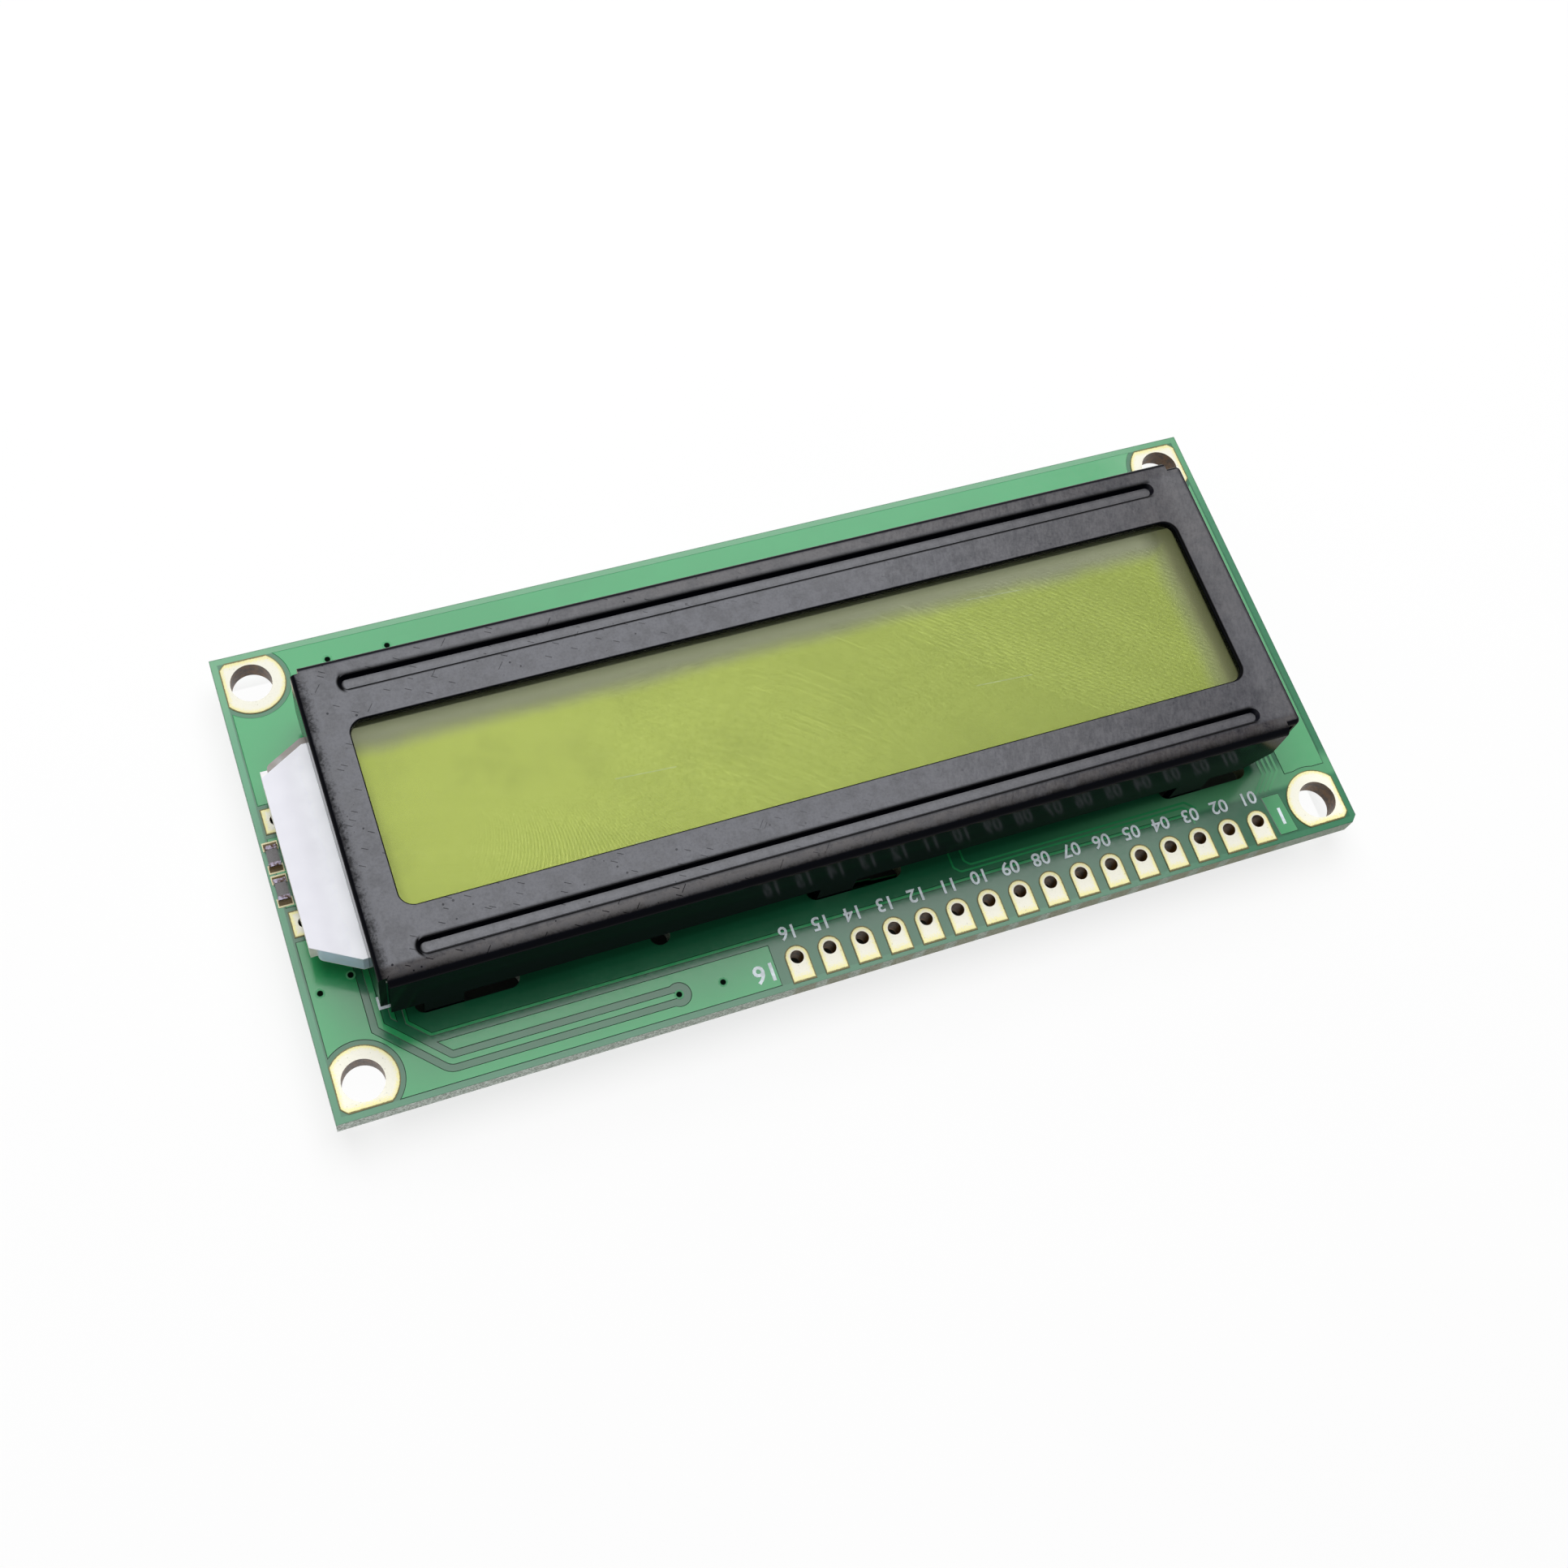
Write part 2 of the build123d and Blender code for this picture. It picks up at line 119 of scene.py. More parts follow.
# Looks: radians per millimetre of the board's weave and layers; the black of the bezel's painted shade, and
# its paint's gloss and brushing; and the display's margins that the bezel hides, which get painted shade.
FIBRE_WAVE = 9.0
LAYER_WAVE = 24.0
PAINTED_SHADE_BLACK = (0.0004, 0.0004, 0.0004, 1.0)
WALL_ROUGHNESS = 0.15
BRUSH_ANGLE = 0.35
BRUSH_STRETCH = (5.0, 1.7, 1.0)
HIDDEN_FAR = (7.5, 7.62)
HIDDEN_RIGHT = (32.65, 32.8)


def paint(red, green, blue):
    """Linear colour of a paint chip given in the usual 0 to 255 steps."""
    steps = []
    for value in (red, green, blue):
        share = value / 255
        if share <= 0.04045:
            steps.append(share / 12.92)
        else:
            steps.append(((share + 0.055) / 1.055) ** 2.4)
    return (*steps, 1.0)


def colour_property(name, description, default):
    return bpy.props.FloatVectorProperty(
        name=name, description=description, default=default, size=4, min=0, max=1, subtype="COLOR"
    )


def length_property(name, description, default):
    return bpy.props.FloatProperty(
        name=name, description=description, default=default * MM, min=0, unit="LENGTH", precision=5
    )


class ModuleColours(bpy.types.PropertyGroup):
    """Colours of the module's finishes."""

    mask_gap: colour_property("Mask over bare board", "Solder mask where no copper lies", paint(32, 107, 71))
    mask_copper: colour_property("Mask over copper", "Solder mask over the copper pour", paint(38, 154, 90))
    mask_rim: colour_property("Mask rim", "Thin mask along the board's outline", paint(66, 144, 104))
    # The mask haze colour also serves as painted light on the bare strip's right end.
    mask_haze: colour_property("Mask haze", "Paler look of the mask towards the right", paint(92, 164, 116))
    edge_pale: colour_property("Board edge, pale", "Cut glass-fibre edge at the left", paint(232, 236, 230))
    board_edge: colour_property("Board edge", "Cut glass-fibre edge at the right", paint(150, 156, 138))
    print_white: colour_property("Print", "Printed numbers and marks", paint(238, 250, 255))
    plating: colour_property("Plating", "Gold plating on the lands", paint(227, 225, 210))
    plating_rim: colour_property("Plating rim", "Outline of the plated lands", paint(84, 78, 22))
    bore_wall: colour_property("Bore wall", "Plated walls of the holes", paint(116, 76, 12))
    bezel_paint: colour_property("Bezel paint", "Black paint of the bezel", paint(28, 31, 46))
    bezel_brown: colour_property("Bezel brown", "Rubbed paint at the rims and the right", paint(44, 36, 32))
    # The display's left and right colours carry a painted light fade; its shade colours are painted shade.
    crystal_left: colour_property("Display, left", "Display colour at the lit end", paint(222, 236, 119))
    crystal_right: colour_property("Display, right", "Display colour at the far end", paint(185, 202, 93))
    crystal_shade: colour_property("Display, shade", "Shaded far border", paint(184, 188, 160))
    crystal_corner: colour_property("Display, right shade", "Shaded right border", paint(124, 126, 92))
    film_tint: colour_property("Film tint", "Tint of the polarizing film", paint(150, 168, 70))
    white_tape: colour_property("Tape", "White tape on the backlight's end", paint(220, 220, 228))
    white_plastic: colour_property("Tray", "White plastic of the tray", paint(228, 228, 226))
    strip_cream: colour_property("Strip", "Pale edge of the light strip", paint(236, 232, 220))
    epoxy: colour_property("Epoxy", "Black covers of the controllers", paint(20, 20, 21))
    solder: colour_property("Solder", "Tinned and soldered metal", paint(196, 196, 194))


class ModuleSizes(bpy.types.PropertyGroup):
    """Sizes of the pieces that dress the module."""

    pour_rise: length_property("Copper rise", "Height of the copper over the bare board", 0.03)
    rim_width: length_property("Copper rim", "Width of the sloped rim round the copper", 0.05)
    print_rise: length_property("Print rise", "Thickness of the print", 0.012)
    board_inset: length_property("Board inset", "Bare strip round the board's edge", 0.48)
    ring_clear: length_property("Ring clearance", "Bare ring round a mounting land", 0.32)
    number_height: length_property("Number height", "Height of the pin numbers", 1.12)
    end_number_height: length_property("End number height", "Height of the row's end numbers", 1.45)
    supply_width: length_property("Supply trace", "Width of the two-lane supply trace", 0.5)
    signal_width: length_property("Signal trace", "Width of a signal trace", 0.16)
    via_radius: length_property("Via radius", "Radius of a via's land", 0.34)
    lamp_size: bpy.props.FloatProperty(
        name="Lamp size", description="Side of the soft box", default=0.58, min=0.01, unit="LENGTH"
    )
    lamp_power: bpy.props.FloatProperty(
        name="Lamp power", description="Power of the soft box", default=3.7, min=0, unit="POWER"
    )


def clear_selection():
    bpy.ops.object.select_all(action="DESELECT")


def work_on(piece):
    """Makes a piece the only one selected, and the active one."""
    clear_selection()
    piece.select_set(True)
    bpy.context.view_layer.objects.active = piece


def place_in_mesh(piece):
    """Moves an object's place, turn and size into its mesh."""
    work_on(piece)
    bpy.ops.object.transform_apply(location=True, rotation=True, scale=True)


def settle(piece, name, material, replaced=()):
    """Brings a piece from millimetres to the frame's metres, dresses it and hangs it on the body."""
    piece.scale = (MM, MM, MM)
    place_in_mesh(piece)
    piece.name = name
    piece.data.name = name
    piece.data.materials.clear()
    piece.data.materials.append(material)
    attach(piece, "root")
    if replaced:
        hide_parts(*replaced)
    return piece


def block(low, high):
    """Block between two corners."""
    clear_selection()
    size = [b - a for a, b in zip(low, high)]
    place = [(a + b) / 2 for a, b in zip(low, high)]
    bpy.ops.mesh.primitive_cube_add(size=1, location=place, scale=size)
    piece = bpy.context.object
    place_in_mesh(piece)
    return piece


def disc(place, radius, low, high, corners=48):
    """Upright round post between two heights."""
    clear_selection()
    bpy.ops.mesh.primitive_cylinder_add(
        vertices=corners, radius=radius, depth=high - low, location=(place[0], place[1], (low + high) / 2)
    )
    piece = bpy.context.object
    place_in_mesh(piece)
    return piece


def start_selection(kind):
    """Leaves nothing selected on the active piece, in face or edge mode, ready for picking by its mesh."""
    bpy.ops.object.mode_set(mode="EDIT")
    bpy.ops.mesh.select_mode(type=kind)
    bpy.ops.mesh.select_all(action="DESELECT")
    bpy.ops.object.mode_set(mode="OBJECT")


def select_faces(piece, wanted):
    """Selects the faces for which wanted(face) holds, and stays in edit mode."""
    start_selection("FACE")
    for face in piece.data.polygons:
        face.select = wanted(face)
    bpy.ops.object.mode_set(mode="EDIT")


def select_edges(piece, wanted):
    """Selects the edges of which wanted(end) holds for both ends, and stays in edit mode."""
    start_selection("EDGE")
    points = piece.data.vertices
    for edge in piece.data.edges:
        edge.select = all(wanted(points[end].co) for end in edge.vertices)
    bpy.ops.object.mode_set(mode="EDIT")


def join(pieces):
    """Joins pieces into the first one."""
    work_on(pieces[0])
    for piece in pieces:
        piece.select_set(True)
    if len(pieces) > 1:
        bpy.ops.object.join()
    return bpy.context.object


def repeated(piece, places):
    """A piece made at the first of some places, with a copy at each of the others, each with its own mesh."""
    pieces = [piece]
    for place in places[1:]:
        work_on(piece)
        bpy.ops.object.duplicate()
        twin = bpy.context.object
        twin.location = (place[0] - places[0][0], place[1] - places[0][1], 0)
        place_in_mesh(twin)
        pieces.append(twin)
    return pieces


def cut(piece, cutters):
    """Takes the cutters out of a piece."""
    tool = join(cutters)
    work_on(piece)
    cuts = piece.modifiers.new("cuts", "BOOLEAN")
    cuts.operation = "DIFFERENCE"
    cuts.solver = "EXACT"
    cuts.use_self = True
    cuts.object = tool
    bpy.ops.object.modifier_apply(modifier=cuts.name)
    bpy.data.objects.remove(tool, do_unlink=True)
    return piece


def ribbon(route, width, low, high, turn=0.25):
    """Strip of even width along a route over the board, between two heights, with softened turns."""
    clear_selection()
    bpy.ops.mesh.primitive_plane_add(size=width, location=(route[0][0], route[0][1], low))
    strip = bpy.context.object
    place_in_mesh(strip)
    bpy.ops.object.mode_set(mode="EDIT")
    bpy.ops.mesh.select_mode(type="VERT")
    bpy.ops.mesh.select_all(action="SELECT")
    bpy.ops.mesh.merge(type="CENTER")
    for start, end in zip(route, route[1:]):
        step = (end[0] - start[0], end[1] - start[1], 0)
        bpy.ops.mesh.extrude_vertices_move(TRANSFORM_OT_translate={"value": step})
    if len(route) > 2 and turn > 0:
        bpy.ops.mesh.select_all(action="DESELECT")
        bpy.ops.object.mode_set(mode="OBJECT")
        for point in list(strip.data.vertices)[1:-1]:
            point.select = True
        bpy.ops.object.mode_set(mode="EDIT")
        bpy.ops.mesh.bevel(offset=turn, segments=3, affect="VERTICES")
    bpy.ops.mesh.select_all(action="SELECT")
    bpy.ops.mesh.extrude_region_move(TRANSFORM_OT_translate={"value": (0, 0, high - low)})
    bpy.ops.mesh.select_all(action="SELECT")
    bpy.ops.mesh.normals_make_consistent(inside=False)
    bpy.ops.object.mode_set(mode="OBJECT")
    wall = strip.modifiers.new("width", "SOLIDIFY")
    wall.thickness = width
    wall.offset = 0
    wall.use_even_offset = True
    bpy.ops.object.modifier_apply(modifier=wall.name)
    face_outwards(strip)
    return strip


def slope_rims(piece, width, rise):
    """Gives the top of a flat piece a sloped rim of even width and raises what lies inside it."""
    work_on(piece)
    select_faces(piece, lambda face: face.normal.z > 0.5)
    bpy.ops.mesh.inset(thickness=width, depth=rise)
    bpy.ops.object.mode_set(mode="OBJECT")
    return piece


def face_outwards(piece):
    """Merges doubled points, then turns every face outwards."""
    work_on(piece)
    bpy.ops.object.mode_set(mode="EDIT")
    bpy.ops.mesh.select_all(action="SELECT")
    bpy.ops.mesh.remove_doubles(threshold=0.0005)
    bpy.ops.mesh.normals_make_consistent(inside=False)
    bpy.ops.object.mode_set(mode="OBJECT")


def maths(operation, swapped=False):
    """Method of Field that builds one maths node."""

    def method(field, *others):
        return calc(operation, *((*others, field) if swapped else (field, *others)))

    return method


class Field:
    """A value, colour or place that varies over the surface; sums and products of it become maths nodes."""

    def __init__(self, socket):
        self.socket = socket

    __add__ = maths("ADD")
    __sub__ = maths("SUBTRACT")
    __rsub__ = maths("SUBTRACT", swapped=True)
    __mul__ = maths("MULTIPLY")
    __truediv__ = maths("DIVIDE")
    __rtruediv__ = maths("DIVIDE", swapped=True)
    __pow__ = maths("POWER")
    __lt__ = maths("LESS_THAN")
    __abs__ = maths("ABSOLUTE")


def feed(socket, value):
    """Links a field to a socket, or writes a plain value into it."""
    if isinstance(value, Field):
        socket.id_data.links.new(value.socket, socket)
    else:
        socket.default_value = value


def node(tree, kind, inputs=None, **options):
    """Adds a shader node, sets its options, and fills or links its inputs."""
    made = tree.nodes.new("ShaderNode" + kind)
    for option, value in options.items():
        setattr(made, option, value)
    for name, value in (inputs or {}).items():
        feed(made.inputs[name], value)
    return made


def tree_of(*values):
    """Node tree of the first field among some values."""
    return next(value.socket.id_data for value in values if isinstance(value, Field))


def calc(operation, *values):
    """Result of a maths node."""
    return Field(node(tree_of(*values), "Math", dict(enumerate(values)), operation=operation).outputs[0])


def vector_calc(operation, *values):
    """Result of a vector maths node."""
    made = node(tree_of(*values), "VectorMath", dict(enumerate(values)), operation=operation)
    return Field(made.outputs["Value" if operation == "DISTANCE" else "Vector"])


def scaled(colour, share):
    """A colour at a share of its light, where the share or the colour is a field."""
    made = node(tree_of(colour, share), "VectorMath", {0: colour, "Scale": share}, operation="SCALE")
    return Field(made.outputs["Vector"])


def largest(*values):
    return reduce(lambda first, second: calc("MAXIMUM", first, second), values)


def smallest(*values):
    return reduce(lambda first, second: calc("MINIMUM", first, second), values)


def ramp(value, start, end, low=0.0, high=1.0):
    """Value carried smoothly from one range to another and held at its ends."""
    limits = {"Value": value, "From Min": start, "From Max": end, "To Min": low, "To Max": high}
    return Field(node(tree_of(value), "MapRange", limits, interpolation_type="SMOOTHSTEP").outputs["Result"])


def blend(share, first, second):
    """Colour between two colours."""
    return Field(node(tree_of(share), "Mix", {0: share, 6: first, 7: second}, data_type="RGBA").outputs[2])


def split(value, kind="XYZ"):
    """The three parts of a place, or of a colour with the kind Color."""
    return [Field(part) for part in node(tree_of(value), "Separate" + kind, {0: value}).outputs]


def noise(place, scale, detail=2.0, roughness=0.5):
    """Soft noise about 0.5."""
    inputs = {"Vector": place, "Scale": scale, "Detail": detail, "Roughness": roughness}
    return Field(node(tree_of(place), "TexNoise", inputs).outputs["Fac"])


def cells(place, scale):
    """Distance to the nearest of many scattered points, the red and green drawn for it, and its place."""
    made = node(tree_of(place), "TexVoronoi", {"Vector": place, "Scale": scale}, feature="F1")
    red, green, _ = split(Field(made.outputs["Color"]), "Color")
    return Field(made.outputs["Distance"]), red, green, Field(made.outputs["Position"])


def turned_place(place, angle):
    """Place turned about Z."""
    made = node(tree_of(place), "VectorRotate", {"Vector": place, "Angle": angle}, rotation_type="Z_AXIS")
    return Field(made.outputs["Vector"])


def make_grain(place, size, low, high):
    """Fine even grain: a value between two ends, from noise at a size given in millimetres."""
    return [ramp(noise(place, 1.0 / size, 3.0, 0.6), 0.3, 0.7, low, high)]


def make_drift(place, first, second, patch, strength):
    """Slow drift between two colours in soft patches."""
    share = ramp(noise(place, 1.0 / patch, 4.0, 0.55), 0.35, 0.65) * strength
    return [blend(share, first, second)]


def make_specks(place, spacing, radius, share):
    """Scattered small specks of dust and dirt."""
    distance, red, green, _ = cells(place, 1.0 / spacing)
    return [(distance * spacing < green * radius) * (red < share)]


def make_scratches(place, turn, spacing, length, width, share):
    """Thin short scratches that lie about along one direction."""
    along, across, _ = split(turned_place(place, turn))
    drawn_out = {"X": along / length, "Y": across / spacing}
    stretched = Field(node(tree_of(place), "CombineXYZ", drawn_out).outputs[0])
    _, red, _, middle = cells(stretched, 1.0)
    off_along, off_across, _ = split(vector_calc("SUBTRACT", stretched, middle))
    return [(abs(off_across) * spacing < width) * (abs(off_along) < 0.16) * (red < share)]


def make_plating(place, inset, outline, fill, rim):
    """Colour and height of a plated land, from the distance to its outline in millimetres."""
    grain = noise(place, 9.0, 3.0, 0.7)
    wavy = inset + ramp(grain, 0.3, 0.7, -0.015, 0.015)
    inside = ramp(wavy, outline * 0.55, outline)
    distance, red, _, _ = cells(place, 3.2)
    pit = (distance < 0.13) * (red < 0.3)
    worn = largest(ramp(grain, 0.58, 0.75, 0.0, 0.35), pit * 0.5)
    golden = ramp(wavy + ramp(grain, 0.3, 0.7, -0.12, 0.12), 0.12, 0.4, 1.0, 0.0)
    fresh = blend(golden, fill, vector_calc("MULTIPLY", fill, (1.0, 0.95, 0.5)))
    toned = blend(worn * 0.6, fresh, rim)
    height = inside - pit * 0.6 + grain * 0.15
    return [blend(inside, rim, toned), ramp(grain, 0.3, 0.7, 0.34, 0.5), height]


# Shared effects: what fills each group, its inputs with their kinds or plain values, and its outputs.
SHARED = {
    "Grain": (
        make_grain,
        {"Place": "Vector", "Size": 0.1, "Low": 0.0, "High": 1.0},
        {"Value": "Float"},
    ),
    "Colour drift": (
        make_drift,
        {"Place": "Vector", "First": "Color", "Second": "Color", "Patch": 10.0, "Strength": 1.0},
        {"Color": "Color"},
    ),
    "Specks": (
        make_specks,
        {"Place": "Vector", "Spacing": 2.0, "Radius": 0.06, "Share": 0.3},
        {"Mask": "Float"},
    ),
    "Scratches": (
        make_scratches,
        {"Place": "Vector", "Turn": 0.3, "Spacing": 1.2, "Length": 8.0, "Width": 0.03, "Share": 0.25},
        {"Mask": "Float"},
    ),
    "Plated land": (
        make_plating,
        {"Place": "Vector", "Inset": 0.0, "Outline": 0.1, "Fill": "Color", "Rim": "Color"},
        {"Color": "Color", "Roughness": "Float", "Height": "Float"},
    ),
}


def group(name):
    """Shader group of a shared effect, built at its first use."""
    if name in bpy.data.node_groups:
        return bpy.data.node_groups[name]
    make, inputs, outputs = SHARED[name]
    tree = bpy.data.node_groups.new(name, "ShaderNodeTree")
    for label, value in inputs.items():
        kind = value if isinstance(value, str) else "Float"
        socket = tree.interface.new_socket(name=label, in_out="INPUT", socket_type="NodeSocket" + kind)
        if kind == "Float":
            socket.default_value = value
    for label, kind in outputs.items():
        tree.interface.new_socket(name=label, in_out="OUTPUT", socket_type="NodeSocket" + kind)
    given = tree.nodes.new("NodeGroupInput")
    result = tree.nodes.new("NodeGroupOutput")
    for label, value in zip(outputs, make(*(Field(given.outputs[name]) for name in inputs))):
        feed(result.inputs[label], value)
    return tree


def shared(name, *values):
    """Places a shared effect with its own values, in the order of its inputs, and gives its outputs."""
    made = tree_of(*values).nodes.new("ShaderNodeGroup")
    made.node_tree = group(name)
    for socket, value in zip(made.inputs, values):
        feed(socket, value)
    return [Field(socket) for socket in made.outputs]


class Finish:
    """A material in the making: one Principled shader, and the place being shaded in millimetres."""

    def __init__(self, name, **constants):
        self.material = bpy.data.materials.new(name)
        self.material.use_nodes = True
        self.tree = self.material.node_tree
        self.tree.nodes.clear()
        plain = {key.replace("_", " "): value for key, value in constants.items()}
        self.shader = node(self.tree, "BsdfPrincipled", plain)
        self.output = self.tree.nodes.new("ShaderNodeOutputMaterial")
        self.tree.links.new(self.shader.outputs["BSDF"], self.output.inputs["Surface"])
        self.metres = Field(node(self.tree, "TexCoord").outputs["Object"])
        self.place = vector_calc("MULTIPLY", self.metres, (1 / MM, 1 / MM, 1 / MM))
        self.parts = split(self.place)

    def upright(self):
        """How far the surface faces up or down, from 0 on a wall to 1 on a flat."""
        return abs(split(Field(node(self.tree, "NewGeometry").outputs["Normal"]))[2])

    def grain(self, size, low, high):
        return shared("Grain", self.place, size, low, high)[0]

    def drift(self, first, second, patch, strength):
        return shared("Colour drift", self.place, first, second, patch, strength)[0]

    def specks(self, spacing, radius, share):
        return shared("Specks", self.place, spacing, radius, share)[0]

    def scratches(self, turn, spacing, length, width, share):
        return shared("Scratches", self.place, turn, spacing, length, width, share)[0]

    def feed(self, name, value):
        feed(self.shader.inputs[name], value)

    def done(self, colour, roughness, height, depth=0.02, strength=0.3):
        """Feeds a colour, a roughness and a height in millimetres to the shader; gives the material."""
        self.feed("Base Color", colour)
        self.feed("Roughness", roughness)
        bump = node(self.tree, "Bump", {"Height": height, "Distance": depth * MM, "Strength": strength})
        self.feed("Normal", Field(bump.outputs["Normal"]))
        return self.material

    def grained(self, colour, size, low, high, depth=0.02, strength=0.3):
        """Gives the material, with a fine grain for both its roughness and its height."""
        grain = self.grain(size, low, high)
        return self.done(colour, grain, grain, depth, strength)


def darker(colour, share):
    """A plain colour at a share of its light."""
    return (colour[0] * share, colour[1] * share, colour[2] * share, 1.0)


def along_row(x):
    """Distance in X from the nearest pin hole's middle, with its sign."""
    return calc("WRAP", x - PIN_1[0], PIN_PITCH / 2, -PIN_PITCH / 2)


def board_material(colours):
    """Solder mask over bare board on the flats, thinner along the outline, cut glass fibre on the edges, with
    painted light on parts of the outline and on the bare strip's right end.
    """
    finish = Finish("Board", IOR=1.45)
    x, y, z = finish.parts
    mask = finish.drift(colours.mask_gap, darker(colours.mask_gap, 0.8), 6.0, 0.7)
    from_edge = smallest(BOARD_HIGH[0] - abs(x), BOARD_HIGH[1] - abs(y))
    rim = ramp(from_edge, 0.42, 0.54, 1.0, 0.0)
    # Painted light: the lighter rim colour shows more towards the far and left sides.
    painted_light_share = ramp(y - x * 0.35, -16.0, 18.0, 0.35, 1.0)
    mask = blend(rim * painted_light_share, mask, colours.mask_rim)
    far_side = rim * ramp(y, 10.0, 16.0, 0.0, 0.75)
    mask = blend(far_side, mask, darker(colours.mask_haze, 0.9))
    # Painted light: the bare strip beside the bezel's near wall turns paler towards its right end, where the
    # wall shades it less.
    right_end_light = ramp(x, 8.0, 30.0, 0.0, 0.75) * ramp(y, -11.4, -12.6) * ramp(y, -14.0, -13.5)
    mask = blend(right_end_light, mask, colours.mask_haze)
    outline = ramp(from_edge, 0.02, 0.1, 0.5, 0.0)
    mask = blend(outline, mask, darker(colours.mask_gap, 0.4))
    weave = calc("SINE", x * FIBRE_WAVE) * calc("SINE", y * FIBRE_WAVE)
    fibre = blend(ramp(x, BOARD_LOW[0], BOARD_HIGH[0]), colours.edge_pale, colours.board_edge)
    coarse = largest(smallest(finish.grain(0.14, -0.4, 1.2), 0.9), 0.0)
    fibre = blend(coarse, fibre, darker(colours.board_edge, 0.55))
    layers = ramp(calc("SINE", z * LAYER_WAVE), -1.0, 1.0, 0.0, 0.4)
    fibre = blend(layers, fibre, darker(colours.mask_rim, 0.8))
    in_row = (abs(x - (PIN_1[0] + PIN_16[0]) / 2) < PIN_ROW_HALF) * (y < 0.0)
    patch = ramp(abs(along_row(x)), 0.7, 1.0, 0.55, 0.0) * in_row
    fibre = blend(patch, fibre, darker(colours.plating_rim, 1.4))
    flat = ramp(finish.upright(), 0.5, 0.8)
    rough = finish.grain(0.25, 0.12, 0.18) + ramp(flat, 0.0, 1.0, 0.4, 0.0)
    return finish.done(blend(flat, fibre, mask), rough, weave, depth=0.001)


def copper_material(colours):
    """Solder mask over copper: lighter and glossier than over bare board, with painted shade on its sloped
    rims.
    """
    finish = Finish("Mask over copper", IOR=1.45)
    x, y, _ = finish.parts
    mask = finish.drift(colours.mask_copper, darker(colours.mask_copper, 0.86), 9.0, 0.6)
    mask = blend(ramp(x, 31.0, 36.0, 0.0, 0.8), mask, colours.mask_haze)
    mask = blend(finish.specks(2.6, 0.09, 0.2) * 0.5, mask, darker(colours.mask_copper, 0.4))
    # Painted shade: the sloped rims turn dark, most on the near side, standing in for their dark reflections.
    sloped = ramp(finish.upright(), 0.965, 0.995, 1.0, 0.0) * ramp(y, -8.0, 10.0, 1.0, 0.35)
    colour = blend(sloped, mask, darker(colours.mask_gap, 0.3))
    return finish.grained(colour, 0.3, 0.12, 0.2, strength=0.25)


def print_material(colours):
    """Slightly ragged white print."""
    finish = Finish("Print")
    ink = finish.drift(colours.print_white, darker(colours.print_white, 0.72), 0.35, 0.8)
    return finish.grained(ink, 0.08, 0.5, 0.75, depth=0.01, strength=0.4)


def plating_material(name, colours, inset_of, painted_light_lift=1.0):
    """Plated land with a rim; inset_of(x, y) gives the distance in from the outline; painted_light_lift
    brightens the fill as painted light.
    """
    finish = Finish(name, Metallic=0.15, IOR=1.5)
    x, y, _ = finish.parts
    # Painted light: the fill is lighter towards the right and dimmer towards the far side.
    painted_light_level = ramp(x, -38.0, 34.0, 0.92, 1.08) * ramp(y, -14.0, 15.0, 1.0, 0.85)
    fill = scaled(darker(colours.plating, painted_light_lift)[:3], painted_light_level)
    land, rough, height = shared("Plated land", finish.place, inset_of(x, y), 0.1, fill, colours.plating_rim)
    wall = finish.drift(colours.bore_wall, darker(colours.bore_wall, 0.3), 0.5, 1.0)
    colour = blend(ramp(finish.upright(), 0.4, 0.8), wall, land)
    return finish.done(colour, rough, height, depth=0.03, strength=0.5)


def length_of(x, y):
    return calc("SQRT", x ** 2.0 + y ** 2.0)


def pin_land_inset(x, y):
    """Distance in from a pin land's outline: round towards the display, square towards the edge."""
    along = y - PIN_HOLE_Y
    side = PIN_LAND_HALF - length_of(along_row(x), largest(along, 0.0))
    return smallest(side, (along + PIN_LAND_END) * 0.6)


def mount_land_inset(x, y):
    """Distance in from a mounting land's outline: a circle with flats at the board's edges."""
    away_x = abs(x)
    away_y = abs(y)
    radius = length_of(away_x - MOUNT_X, away_y - MOUNT_Y)
    flats = smallest(MOUNT_X + MOUNT_FLAT - away_x, (MOUNT_Y + MOUNT_FLAT - away_y) * 0.7)
    return smallest(MOUNT_RADIUS - radius, flats)


def lead_land_inset(x, y):
    """Distance in from the outline of the two lands of the backlight's leads."""
    land = edges_mm("lead_pad_far")
    other = edges_mm("lead_pad_near")
    middle_x = (land[0][0] + land[1][0]) / 2
    half_x = (land[1][0] - land[0][0]) / 2
    middle_y = (land[1][1] + other[0][1]) / 2
    land_y = (land[0][1] + land[1][1]) / 2 - middle_y
    half_y = (land[1][1] - land[0][1]) / 2
    return smallest(half_x - abs(x - middle_x), half_y - abs(abs(y - middle_y) - land_y))


def rounded_distance(x, y, middle, half_x, half_y, corner):
    """Signed distance from a rounded rectangle's outline, in millimetres, positive outside."""
    past_x = abs(x - middle[0]) - (half_x - corner)
    past_y = abs(y - middle[1]) - (half_y - corner)
    outside = length_of(largest(past_x, 0.0), largest(past_y, 0.0))
    return outside + smallest(largest(past_x, past_y), 0.0) - corner


def window_distance(x, y):
    return rounded_distance(x, y, WINDOW_MIDDLE, *WINDOW_HALF, WINDOW_CORNER)


